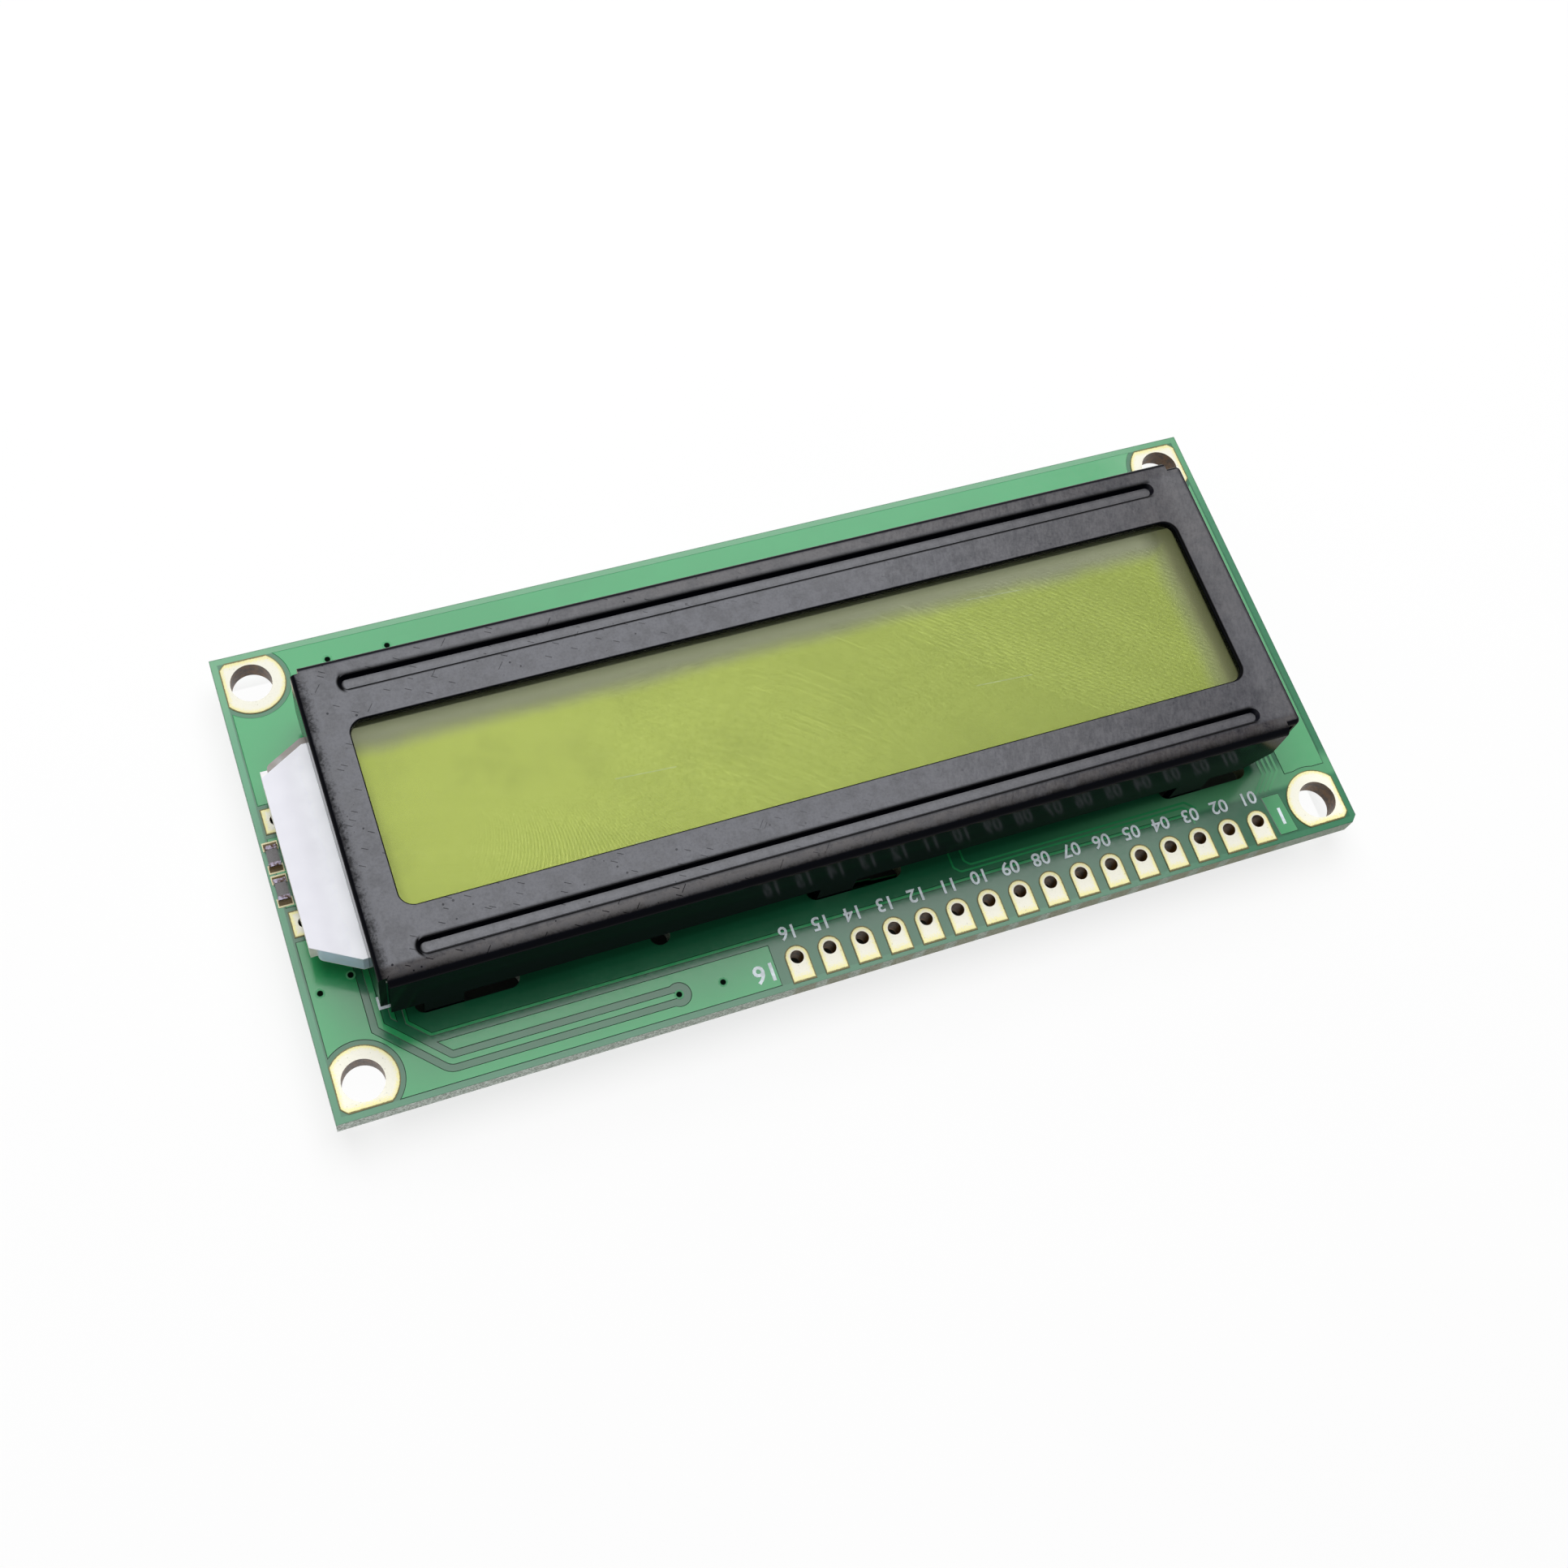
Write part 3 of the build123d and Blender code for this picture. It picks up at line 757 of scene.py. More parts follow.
def painted_fold_shade(x, y, wavy):
    """Painted shade: darkens the bends along the left, near and far folds and the far groove's far edge,
    standing in for shade and dark reflections.
    """
    left = ramp(x + wavy, -35.0, -34.1, 0.85, 0.0)
    near = ramp(y + wavy * 0.5, -11.85, -11.05, 0.92, 0.0)
    beside_rib = ramp(x, -32.2, -31.9) * ramp(x, 31.4, 31.7, 1.0, 0.0)
    far_line = ramp(y, 10.58, 10.95, 0.8, 0.0) * (ramp(y, 10.5, 10.55) * beside_rib)
    return largest(left, near, largest(ramp(y, 11.9, 12.06, 0.0, 0.5), far_line))


def painted_crease_shade(x, y, groove, open_end):
    """Painted shade in the creases round the pressed grooves and at their closed left ends, fading out at
    their open right ends.
    """
    crease_shade = ramp(abs(groove), 0.06, 0.2, 0.95, 0.0)
    near_line = ramp(groove, 0.0, 0.3, 0.9, 0.0) * ramp(groove, -0.15, 0.0)
    crease_shade = largest(crease_shade, near_line * ramp(y, 0.0, -1.0))
    closed = ramp(groove, 0.2, 0.4, 1.0, 0.0) * ramp(x, -32.0, -31.6, 1.0, 0.0)
    crease_shade = largest(crease_shade, closed * ramp(groove, -0.3, -0.1))
    return crease_shade * (1.0 - open_end)


def bezel_material(colours):
    """Black paint: satin with a fine grain on the face, glossy on the folded walls, worn here and there;
    painted shade darkens the walls, folds, creases and window edge.
    """
    finish = Finish("Bezel paint", IOR=1.1, Coat_Roughness=0.34, Coat_IOR=1.5)
    x, y, z = finish.parts
    mottle = noise(finish.place, 0.9, 6.0, 0.65)
    patch = noise(finish.place, 0.11)
    fine = noise(finish.place, 5.0, 4.0, 0.7)
    flat = ramp(finish.upright(), 0.9, 0.99) * ramp(z, 3.0, 8.0)
    left_side = ramp(x, -14.0, 2.0, 1.0, 0.25)
    marks = finish.scratches(0.5, 0.7, 1.5, 0.03, 0.25)
    across = finish.scratches(-0.9, 1.1, 2.2, 0.025, 0.16)
    wear = largest(finish.specks(0.62, 0.12, 0.35), marks, across) * (left_side * flat)
    near_rim = ramp(y, -10.5, -10.9)
    far_rim = ramp(y, 10.5, 11.0) * ramp(x, -26.0, -6.0, 0.1, 0.7)
    fold_shade = painted_fold_shade(x, y, ramp((mottle + fine) * 0.5, 0.35, 0.65, -0.35, 0.35))
    rim = largest(near_rim, far_rim) * flat
    brown = largest(rim * 0.7, ramp(x, -5.0, 30.0, 0.0, 0.7) * patch)
    rubbed = ramp(patch, 0.48, 0.6) * ramp(mottle, 0.45, 0.65)
    colour = blend(brown, colours.bezel_paint, colours.bezel_brown)
    colour = blend(ramp(mottle, 0.4, 0.62) * 0.5, colour, darker(colours.bezel_paint, 0.5))
    colour = blend(wear * 0.7, colour, darker(colours.bezel_paint, 0.2))
    groove_middle = (WINDOW_MIDDLE[0], GROOVE_Y)
    groove = rounded_distance(x, abs(y), groove_middle, GROOVE_HALF, GROOVE_RADIUS, GROOVE_RADIUS)
    open_end = ramp(WINDOW_MIDDLE[0] + GROOVE_HALF - x, 0.1, 0.9, 1.0, 0.0)
    crease_shade = painted_crease_shade(x, y, groove, open_end)
    # Painted highlight: the grooves' open right ends keep the face's lighter colour.
    flat = largest(flat, open_end * ramp(groove, 0.3, 0.5, 1.0, 0.0) * 0.6)
    # Painted shade: a dark band round the window's edge joins the dark creases, and black is laid over them
    # and over the bends of the folds.
    outline = largest(crease_shade, ramp(window_distance(x, y), 0.04, 0.16, 1.0, 0.0))
    colour = blend(largest(outline, fold_shade), colour, PAINTED_SHADE_BLACK)
    # Painted shade: walls and bends take a far darker paint than the face.
    colour = blend(flat, darker(colours.bezel_paint, 0.12), colour)
    face_rough = ramp(fine, 0.3, 0.7, 0.3, 0.44) + largest(wear, outline) * 0.4
    rough = flat * (face_rough - WALL_ROUGHNESS) + WALL_ROUGHNESS
    lacquer = 1.06 - near_rim * 0.42 - far_rim * 0.25 - near_rim * ramp(x, -26.0, -33.0, 0.0, 0.25)
    lacquer = lacquer - ramp(x, 2.0, 26.0, 0.0, 0.22) + ramp(x, 31.8, 33.2, 0.0, 0.34)
    lacquer = lacquer - wear * 0.6 + ramp(groove, -0.45, -0.3, 0.12, 0.0)
    lacquer = lacquer - ramp(mottle, 0.38, 0.66, -0.04, 0.14) - ramp(fine, 0.4, 0.7, -0.06, 0.12)
    lacquer = lacquer + rubbed * 0.08
    drawn_out = vector_calc("MULTIPLY", turned_place(finish.place, BRUSH_ANGLE), BRUSH_STRETCH)
    brushed = ramp(noise(drawn_out, 1.0, 3.0, 0.6), 0.3, 0.7, -0.11, 0.13) * ramp(x, 1.0, 12.0)
    lacquer = lacquer - brushed * ramp(groove, 0.0, 0.2)
    lacquer = lacquer * (1.0 - largest(outline, fold_shade)) * ramp(flat, 0.0, 1.0, 0.04, 1.0)
    finish.feed("Coat Weight", lacquer)
    return finish.done(colour, rough, (fine - (wear * 0.5 + outline)) * flat, depth=0.04, strength=0.5)


def ground_edge(finish, alpha, tint):
    """Clear within the window; dull, opaque and dark on the ground edges and the hidden margin, as painted
    shade.
    """
    x, y, _ = finish.parts
    dull = largest(ramp(finish.upright(), 0.3, 0.7, 1.0, 0.0), ramp(window_distance(x, y), 1.2, 1.5))
    finish.feed("Alpha", ramp(dull, 0.0, 1.0, alpha, 1.0))
    return blend(dull, tint, paint(24, 25, 20))


def film_material(colours):
    """Front polarizing film: glossy, thin and mostly clear, with faint cleaning marks."""
    finish = Finish("Polarizing film", IOR=1.5)
    tint = finish.drift(colours.film_tint, darker(colours.film_tint, 0.85), 14.0, 0.6)
    tint = blend(finish.scratches(0.12, 2.4, 16.0, 0.02, 0.12) * 0.5, tint, colours.print_white)
    tint = ground_edge(finish, 0.03, tint)
    return finish.grained(tint, 0.2, 0.12, 0.2, depth=0.003, strength=0.2)


def cell_material(name, colour, alpha):
    """Clear layer of the display's cell."""
    finish = Finish(name, IOR=1.45, Roughness=0.08)
    tint = finish.drift(colour, darker(colour, 0.85), 12.0, 0.5)
    finish.feed("Base Color", ground_edge(finish, alpha, tint))
    return finish.material


def lit_layer_material(colours):
    """Layer that gives the display its colour, with painted light and shade: lighter at the left end, shaded
    at the far and right borders, near black under the bezel, faintly glowing.
    """
    finish = Finish("Lit layer", Roughness=0.6, Emission_Strength=1.0)
    x, y, _ = finish.parts
    # Painted light: the layer is lighter at its left end and fades towards the right.
    share = ramp(x, BEZEL_LOW[0] + 10, BEZEL_HIGH[0])
    colour = blend(share, colours.crystal_left, colours.crystal_right)
    cloud = noise(finish.place, 0.16, 5.0, 0.6)
    colour = blend(ramp(cloud, 0.45, 0.7, 0.0, 0.22), colour, darker(colours.crystal_right, 0.86))
    wavy = ramp(cloud, 0.3, 0.7, -0.15, 0.15)
    # Painted shade along the far, right and left borders, where the bezel shades the layer.
    right = ramp(x + wavy, 29.4, 31.9)
    shade = largest(ramp(y + wavy, 4.5, 6.5), right, ramp(x, -32.6, -31.4, 0.12, 0.0))
    colour = blend(shade, colour, blend(right, colours.crystal_shade, colours.crystal_corner))
    # Painted shade: the margins hidden under the bezel turn near black.
    hidden = largest(ramp(y, *HIDDEN_FAR), ramp(x, *HIDDEN_RIGHT))
    colour = blend(hidden, colour, darker(colours.crystal_corner, 0.1))
    colour = blend(finish.scratches(0.06, 3.0, 14.0, 0.025, 0.16) * 0.35, colour, colours.print_white)
    # Painted light: a faint glow, stronger towards the far and right borders, though the layer is no lamp; it
    # stops under the bezel.
    glow = largest(ramp(y, 5.7, 6.8) * 0.13, ramp(x, 30.6, 31.6) * 0.24) + 0.06
    glow = glow * ramp(y, *HIDDEN_FAR, 1.0, 0.0) * ramp(x, *HIDDEN_RIGHT, 1.0, 0.0)
    finish.feed("Emission Color", scaled(colour, glow))
    return finish.grained(colour, 0.15, 0.5, 0.7, depth=0.004, strength=0.2)


def plain_material(name, colour, low, high, grain_size, depth, patch=4.0, strength=0.6, **constants):
    """Even finish with a soft colour drift, a fine grain and a few dust specks."""
    finish = Finish(name, **constants)
    tone = finish.drift(colour, darker(colour, 0.84), patch, strength)
    tone = blend(finish.specks(1.6, 0.07, 0.2) * 0.35, tone, darker(colour, 0.5))
    return finish.grained(tone, grain_size, low, high, depth, strength=0.4)


def guide_material():
    """Milky acrylic, bluish on the near side; painted shade makes the far ledge beige-grey, and a painted
    highlight lightens its left edge and walls.
    """
    finish = Finish("Guide edge", Coat_Weight=0.2, IOR=1.4)
    x, y, _ = finish.parts
    far = ramp(y, 2.0, 6.0)
    # Painted shade: the far ledge is beige-grey.
    tone = blend(far, paint(216, 230, 255), paint(122, 114, 106))
    # Painted highlight: the far ledge's left edge and walls are lighter.
    border = largest(ramp(x, -38.72, -38.5, 1.0, 0.0), ramp(finish.upright(), 0.3, 0.6, 0.7, 0.0))
    tone = blend(border * far, tone, paint(226, 226, 226))
    tone = finish.drift(tone, paint(196, 200, 206), 1.6, 0.3)
    return finish.grained(tone, 0.4, 0.14, 0.24, depth=0.01)


def strip_material(colours):
    """Cream strip board, white where the tape laps its far end."""
    finish = Finish("Strip board", IOR=1.4)
    tone = blend(ramp(finish.parts[1], 5.0, 7.2), colours.strip_cream, paint(240, 240, 250))
    tone = finish.drift(tone, darker(colours.strip_cream, 0.84), 1.2, 0.4)
    return finish.grained(tone, 0.15, 0.35, 0.5, strength=0.4)


def tape_material(colours):
    """White tape with soft waves; painted light makes it paler and faintly glowing towards the bezel, where
    the bezel shades it.
    """
    finish = Finish("White tape", IOR=1.45, Emission_Strength=1.0)
    x, y, _ = finish.parts
    # Painted light: paler towards the bezel's left wall.
    tone = blend(ramp(x, -37.4, -35.2), colours.white_tape, paint(248, 250, 255))
    tone = finish.drift(tone, darker(colours.white_tape, 0.94), 3.0, 0.35)
    # Painted light: a faint glow that grows towards the bezel, though the tape is no lamp.
    finish.feed("Emission Color", scaled(tone, ramp(x - y * 0.02, -37.2, -35.2, 0.02, 0.2)))
    return finish.grained(tone, 1.4, 0.34, 0.46, depth=0.03)


def chip_material(name, body, nodes):
    """Ceramic chips: a glazed body between two tinned caps, told apart along Y."""
    low, high = edges_mm(nodes[0])
    half = (high[1] - low[1]) / 2
    finish = Finish(name)
    middles = [middle_mm(label)[1] for label in nodes]
    others = [middle for middle in middles[1:] if abs(middle - middles[0]) >= 0.01]
    distance = smallest(*(abs(finish.parts[1] - middle) for middle in [middles[0], *others]))
    cap = ramp(distance, half - 0.34, half - 0.28)
    glaze = finish.drift(body, darker(body, 0.6), 0.4, 0.8)
    metal = finish.drift(paint(96, 92, 104), paint(40, 28, 14), 0.22, 1.0)
    finish.feed("Metallic", cap)
    return finish.grained(blend(cap, glaze, metal), 0.1, 0.18, 0.34, depth=0.01)


def dress(names, material):
    """Gives CAD nodes their finish; their shapes stay as they are."""
    for name in names:
        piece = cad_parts[name]
        piece.data.materials.clear()
        piece.data.materials.append(material)


def number_names(stem, count):
    return [f"{stem}_{number}" for number in range(1, count + 1)]


COVERS = ["controller_cover_left", "controller_cover_right"]
LEAD_LANDS = ["lead_pad_far", "lead_pad_near"]
FRONT_RESISTORS = number_names("front_resistor", 2)
REAR_RESISTORS = number_names("rear_resistor", 5)
REAR_CAPACITORS = number_names("rear_capacitor", 2)


LAMP_PLACE = (0.03, 0.22, 0.53)
CAMERA_PLACE = (-0.0418215, -0.0518598, 0.1358705)
CAMERA_TURN = (0.41273673, -0.15232528, -0.34317204)
CAMERA_LENS = 45.763588
SKY_LIGHT = 0.28

# Floor, in millimetres: glowing white where the eye meets it through the holes and beside the board, with
# painted light under the board's ends and a painted shadow below its middle.
LIT_PAST_END = (35.1, 35.8)
LIT_PAST_FAR = (13.0, 17.0)
LIT_PAST_NEAR = (-15.8, -17.3)
DARK_WITHIN_END = (35.4, 34.7)
DARK_WITHIN_FAR = (13.0, 11.5)
DARK_WITHIN_NEAR = (-16.2, -15.3)
UNDER_BOARD = (39.3, 17.1)


def seen_directly(tree):
    """1 for rays from the eye, also by way of a mirror or through glass, and 0 for the light's own."""
    path = node(tree, "LightPath")
    return largest(*(Field(path.outputs[f"Is {kind} Ray"]) for kind in ("Camera", "Glossy", "Transmission")))


class MODULE_OT_stage(bpy.types.Operator):
    """Pale floor, soft box, even sky and the camera at the photograph's angle."""

    bl_idname = "module.stage"
    bl_label = "Stage"

    def execute(self, context):
        sizes = context.scene.module_sizes
        clear_selection()
        bpy.ops.mesh.primitive_plane_add(size=4.0, location=(0, 0, CAD_BOX[0][2]))
        floor = bpy.context.object
        place_in_mesh(floor)
        floor.name = "floor"
        floor.data.materials.append(self.floor_material())
        self.light_sky(context)
        bpy.ops.object.light_add(type="AREA", location=LAMP_PLACE)
        lamp = bpy.context.object
        lamp.name = "soft_box"
        lamp.data.shape = "SQUARE"
        lamp.data.size = sizes.lamp_size
        lamp.data.energy = sizes.lamp_power
        lean = math.atan2(math.hypot(LAMP_PLACE[0], LAMP_PLACE[1]), LAMP_PLACE[2])
        lamp.rotation_euler = (lean, 0, math.atan2(LAMP_PLACE[1], LAMP_PLACE[0]) + math.pi / 2)
        bpy.ops.object.camera_add(location=CAMERA_PLACE, rotation=CAMERA_TURN)
        camera = bpy.context.object
        camera.name = "camera"
        camera.data.lens = CAMERA_LENS
        camera.data.clip_start = 0.001
        context.scene.camera = camera
        context.scene.view_settings.view_transform = "Standard"
        return {"FINISHED"}

    def floor_material(self):
        """Pale floor that shows white to the eye and keeps the object's shadow, with a painted shadow under
        the board and painted light under its ends.
        """
        finish = Finish("Floor", Roughness=0.8)
        x, y, _ = finish.parts
        speckle = ramp(noise(finish.metres, 40.0), 0.3, 0.7, 0.0, 0.3)
        tone = blend(speckle, paint(246, 246, 246), paint(240, 240, 240))
        past_end = ramp(abs(x), *LIT_PAST_END)
        past_side = largest(ramp(y, *LIT_PAST_FAR), ramp(y, *LIT_PAST_NEAR))
        # Painted shadow: the floor under the board's middle is dark, where the eye sees it through the slots
        # and pin holes.
        shaded = ramp(abs(x), *DARK_WITHIN_END) * (ramp(y, *DARK_WITHIN_FAR) * ramp(y, *DARK_WITHIN_NEAR))
        finish.feed("Base Color", blend(shaded, tone, paint(48, 46, 44)))
        # Painted light: the white glow is stronger under the board's ends, so that the mounting holes show
        # white.
        under_board = (abs(x) < UNDER_BOARD[0]) * (abs(y) < UNDER_BOARD[1])
        strength = ramp(under_board, 0.0, 1.0, 0.78, 0.97)
        share = seen_directly(finish.tree) * largest(past_end, past_side) * strength
        glow = node(finish.tree, "Emission", {"Color": (1, 1, 1, 1), "Strength": 1.0}).outputs["Emission"]
        shaders = {0: share, 1: Field(finish.shader.outputs["BSDF"]), 2: Field(glow)}
        feed(finish.output.inputs["Surface"], Field(node(finish.tree, "MixShader", shaders).outputs[0]))
        return finish.material

    def light_sky(self, context):
        """White backdrop to the eye and in reflections, softer as a light."""
        world = bpy.data.worlds.new("Sky")
        context.scene.world = world
        world.use_nodes = True
        tree = world.node_tree
        tree.nodes.clear()
        strength = seen_directly(tree) * (1.0 - SKY_LIGHT) + SKY_LIGHT
        sky = node(tree, "Background", {"Color": (1, 1, 1, 1), "Strength": strength})
        output = tree.nodes.new("ShaderNodeOutputWorld")
        tree.links.new(sky.outputs["Background"], output.inputs["Surface"])


class MODULE_OT_board(bpy.types.Operator):
    """Solder mask and cut edges of the circuit board."""

    bl_idname = "module.board"
    bl_label = "Circuit board"

    def execute(self, context):
        dress(["circuit_board"], board_material(context.scene.module_colours))
        return {"FINISHED"}


# Front copper, in millimetres: routes, the lanes left bare round them, bare areas and vias.
SUPPLY_ROUTE = [(-35.36, -7.4), (-35.36, -12.14), (-31.5, -16.0), (-15.06, -16.0)]
SUPPLY_LANES = 1.45
BAND_ROUTE = [(-34.0, -10.4), (-34.0, -12.61), (-32.48, -14.13), (34.0, -14.13)]
BAND_WIDTH = 0.46
BARE_STRIP_LOW = (-33.47, -13.6)
BARE_STRIP_HIGH = (33.1, -10.6)
BARE_STRIP_CORNER = 1.236
SIGNAL_ROUTES = [
    [(7.55, -11.0), (7.55, -12.65), (8.0, -13.1), (26.7, -13.1), (27.1, -13.5), (27.1, -14.6)],
    [(8.5, -11.0), (8.5, -12.35), (8.9, -12.75), (27.0, -12.75), (27.7, -13.45)],
]
SIGNAL_TURN = 0.12
SIGNAL_LANES = 0.42
CORNER_LANES = 4
CORNER_LANE_PITCH = 0.42
CORNER_LANE_WIDTH = 0.2
CORNER_LANE_X = 35.4
CORNER_BARE_LOW = (27.0, -13.9)
CORNER_BARE_HIGH = (35.85, -10.3)
FRONT_VIAS = [(-38.7, -8.75), (-36.4, -8.05), (-11.78, -16.04), (-31.8, 15.95), (-27.35, 15.95)]
RING_VIA = (-15.06, -16.0)
RING_RADIUS = 0.86
POUR_RIGHT_END = -7.76
PIN_BARE_TOP = -13.9
PIN_BARE_RIGHT = 33.1
PIN_BARE_END_TOP = -12.8
CORNER_PATCH_LOW = (33.25, -17.4)
CORNER_PATCH_HIGH = (34.8, -14.1)
CORNER_PATCH_SLANT = (0.12, -0.15)
VIA_RISE = 0.03
CUTTER_HALF = 0.3

# Rear copper, in millimetres: rings and traces that end round the covers.
REAR_BARE_TOP = -13.6
REAR_BARE_PAST = 1.5
REAR_LANES = 0.75
REAR_TURN = 0.3
COVER_BARE_RADIUS = 7.3
COVER_TRACE_RADIUS = 7.1
COVER_RING = (7.5, 7.75)


def hole_cutters(sizes, low, high):
    """Cutters for the rings round the mounting holes, and round the bezel's slots and locating holes."""
    ring = MOUNT_RADIUS + sizes.ring_clear / MM
    cutters = []
    for side_x in (-1, 1):
        for side_y in (-1, 1):
            cutters.append(disc((side_x * MOUNT_X, side_y * MOUNT_Y), ring, low, high, corners=96))
    for side in (-1, 1):
        for step in (-1, 0, 1):
            ends = [(step * SLOT_PITCH + way * SLOT_BARE_HALF, side * SLOT_Y) for way in (-1, 1)]
            cutters.append(ribbon(ends, SLOT_BARE_WIDTH, low, high))
        cutters.append(disc((LOCATING_X, side * SLOT_Y), LOCATING_BARE_RADIUS, low, high))
    return cutters


def cutters_round(names, margin_x, margin_y, low, high):
    """Blocks round the boxes of CAD nodes, wider by a margin."""
    cutters = []
    for name in names:
        near, far = edges_mm(name)
        start = (near[0] - margin_x, near[1] - margin_y, low)
        cutters.append(block(start, (far[0] + margin_x, far[1] + margin_y, high)))
    return cutters


class MODULE_OT_front_copper(bpy.types.Operator):
    """Copper pour, traces and vias under the mask of the board's front."""

    bl_idname = "module.front_copper"
    bl_label = "Front copper"

    def execute(self, context):
        colours = context.scene.module_colours
        sizes = context.scene.module_sizes
        copper = copper_material(colours)
        rise = sizes.pour_rise / MM
        foot = rise * 0.3
        rim = sizes.rim_width / MM
        inset = sizes.board_inset / MM
        low = [BOARD_LOW[0] + inset + 0.12, BOARD_LOW[1] + inset, BOARD_TOP]
        high = [BOARD_HIGH[0] - inset - 0.12, BOARD_HIGH[1] - inset, BOARD_TOP + foot]
        pour = cut(block(low, high), self.bare_areas(sizes))
        face_outwards(pour)
        slope_rims(pour, rim, rise - foot)
        settle(pour, "copper_pour_front", copper)
        top = BOARD_TOP + rise
        supply = ribbon(SUPPLY_ROUTE, sizes.supply_width / MM, BOARD_TOP, BOARD_TOP + foot)
        traces = [slope_rims(supply, rim, rise - foot)]
        for route in SIGNAL_ROUTES:
            traces.append(ribbon(route, sizes.signal_width / MM, BOARD_TOP, top, SIGNAL_TURN))
        for lane in range(CORNER_LANES):
            traces.append(ribbon(self.corner_lane(lane), CORNER_LANE_WIDTH, BOARD_TOP, top, SIGNAL_TURN))
        settle(join(traces), "traces_front", copper)
        patch = slope_rims(self.number_patch(BOARD_TOP + foot), rim, rise - foot)
        settle(patch, "number_patch", copper)
        places = [*FRONT_VIAS, RING_VIA]
        vias = repeated(via(places[0], sizes, BOARD_TOP, top + 0.006), places)
        settle(join(vias), "vias_front", via_material(colours, places))
        return {"FINISHED"}

    def bare_areas(self, sizes):
        """Everything that the front pour leaves bare."""
        low = BOARD_TOP - CUTTER_HALF
        high = BOARD_TOP + CUTTER_HALF
        stack_low = (TRAY_LOW[0] - 0.35, STACK_LOW[1] - 0.1, low)
        stack_high = (TRAY_HIGH[0] + 0.1, -STACK_LOW[1] + 0.1, high)
        cutters = [
            block(stack_low, stack_high),
            block((POUR_RIGHT_END, BOARD_LOW[1] - 1, low), (PIN_BARE_RIGHT, PIN_BARE_TOP, high)),
            block((PIN_BARE_RIGHT - 0.1, BOARD_LOW[1] - 1, low), (BOARD_HIGH[0] + 1, PIN_BARE_END_TOP, high)),
            block((*CORNER_BARE_LOW, low), (*CORNER_BARE_HIGH, high)),
            self.bare_strip(low, high),
            ribbon(SUPPLY_ROUTE, SUPPLY_LANES, low, high),
            ribbon(BAND_ROUTE, BAND_WIDTH, low, high),
            disc(RING_VIA, RING_RADIUS, low, high),
        ]
        for route in SIGNAL_ROUTES:
            cutters.append(ribbon(route, SIGNAL_LANES, low, high, SIGNAL_TURN))
        cutters += hole_cutters(sizes, low, high)
        return cutters + cutters_round(LEAD_LANDS + FRONT_RESISTORS, 0.3, 0.3, low, high)

    def bare_strip(self, low, high):
        """Bare strip beside the bezel's near wall, with a slanted left corner."""
        strip = block((*BARE_STRIP_LOW, low), (*BARE_STRIP_HIGH, high))
        select_edges(strip, lambda end: math.dist((end.x, end.y), BARE_STRIP_LOW) < 0.01)
        bpy.ops.mesh.bevel(offset=BARE_STRIP_CORNER, segments=1, affect="EDGES")
        bpy.ops.object.mode_set(mode="OBJECT")
        return strip

    def corner_lane(self, lane):
        """One of the fine traces that turn under the bezel's near right corner."""
        x = CORNER_LANE_X - lane * CORNER_LANE_PITCH
        return [(x, -10.6), (x, -12.35), (x - 1.35, -13.7)]

    def number_patch(self, top):
        """Slanted patch of copper that carries the number of the row's right end."""
        patch = block((*CORNER_PATCH_LOW, BOARD_TOP), (*CORNER_PATCH_HIGH, top))
        near_shift, far_shift = CORNER_PATCH_SLANT
        select_faces(patch, lambda face: face.normal.y > 0.5)
        bpy.ops.transform.translate(value=(far_shift, 0, 0))
        select_faces(patch, lambda face: face.normal.y < -0.5)
        bpy.ops.transform.translate(value=(near_shift, 0, 0))
        bpy.ops.object.mode_set(mode="OBJECT")
        return patch


def via(place, sizes, low, high):
    """Covered via: a flat land with a dimple."""
    radius = sizes.via_radius / MM
    land = disc(place, radius, low, high, corners=32)
    select_faces(land, lambda face: face.normal.z > 0.5)
    bpy.ops.mesh.inset(thickness=radius * 0.5)
    bpy.ops.mesh.extrude_region_move(TRANSFORM_OT_translate={"value": (0, 0, (low - high) * 0.1)})
    bpy.ops.object.mode_set(mode="OBJECT")
    return land


def via_material(colours, places):
    """Mask over a via, with painted shade dark in its dimple."""
    finish = Finish("Via", IOR=1.15)
    spots = [(*place, BOARD_TOP + VIA_RISE) for place in places]
    open_land = ramp(smallest(*(vector_calc("DISTANCE", finish.place, spot) for spot in spots)), 0.19, 0.24)
    # Painted shade: the dimple is near black, standing in for the shade inside the via's hole.
    colour = blend(open_land, darker(colours.mask_gap, 0.02), paint(92, 168, 120))
    grain = finish.grain(0.1, 0.16, 0.26)
    return finish.done(colour, largest(grain, 1.0 - open_land), grain, depth=0.01)


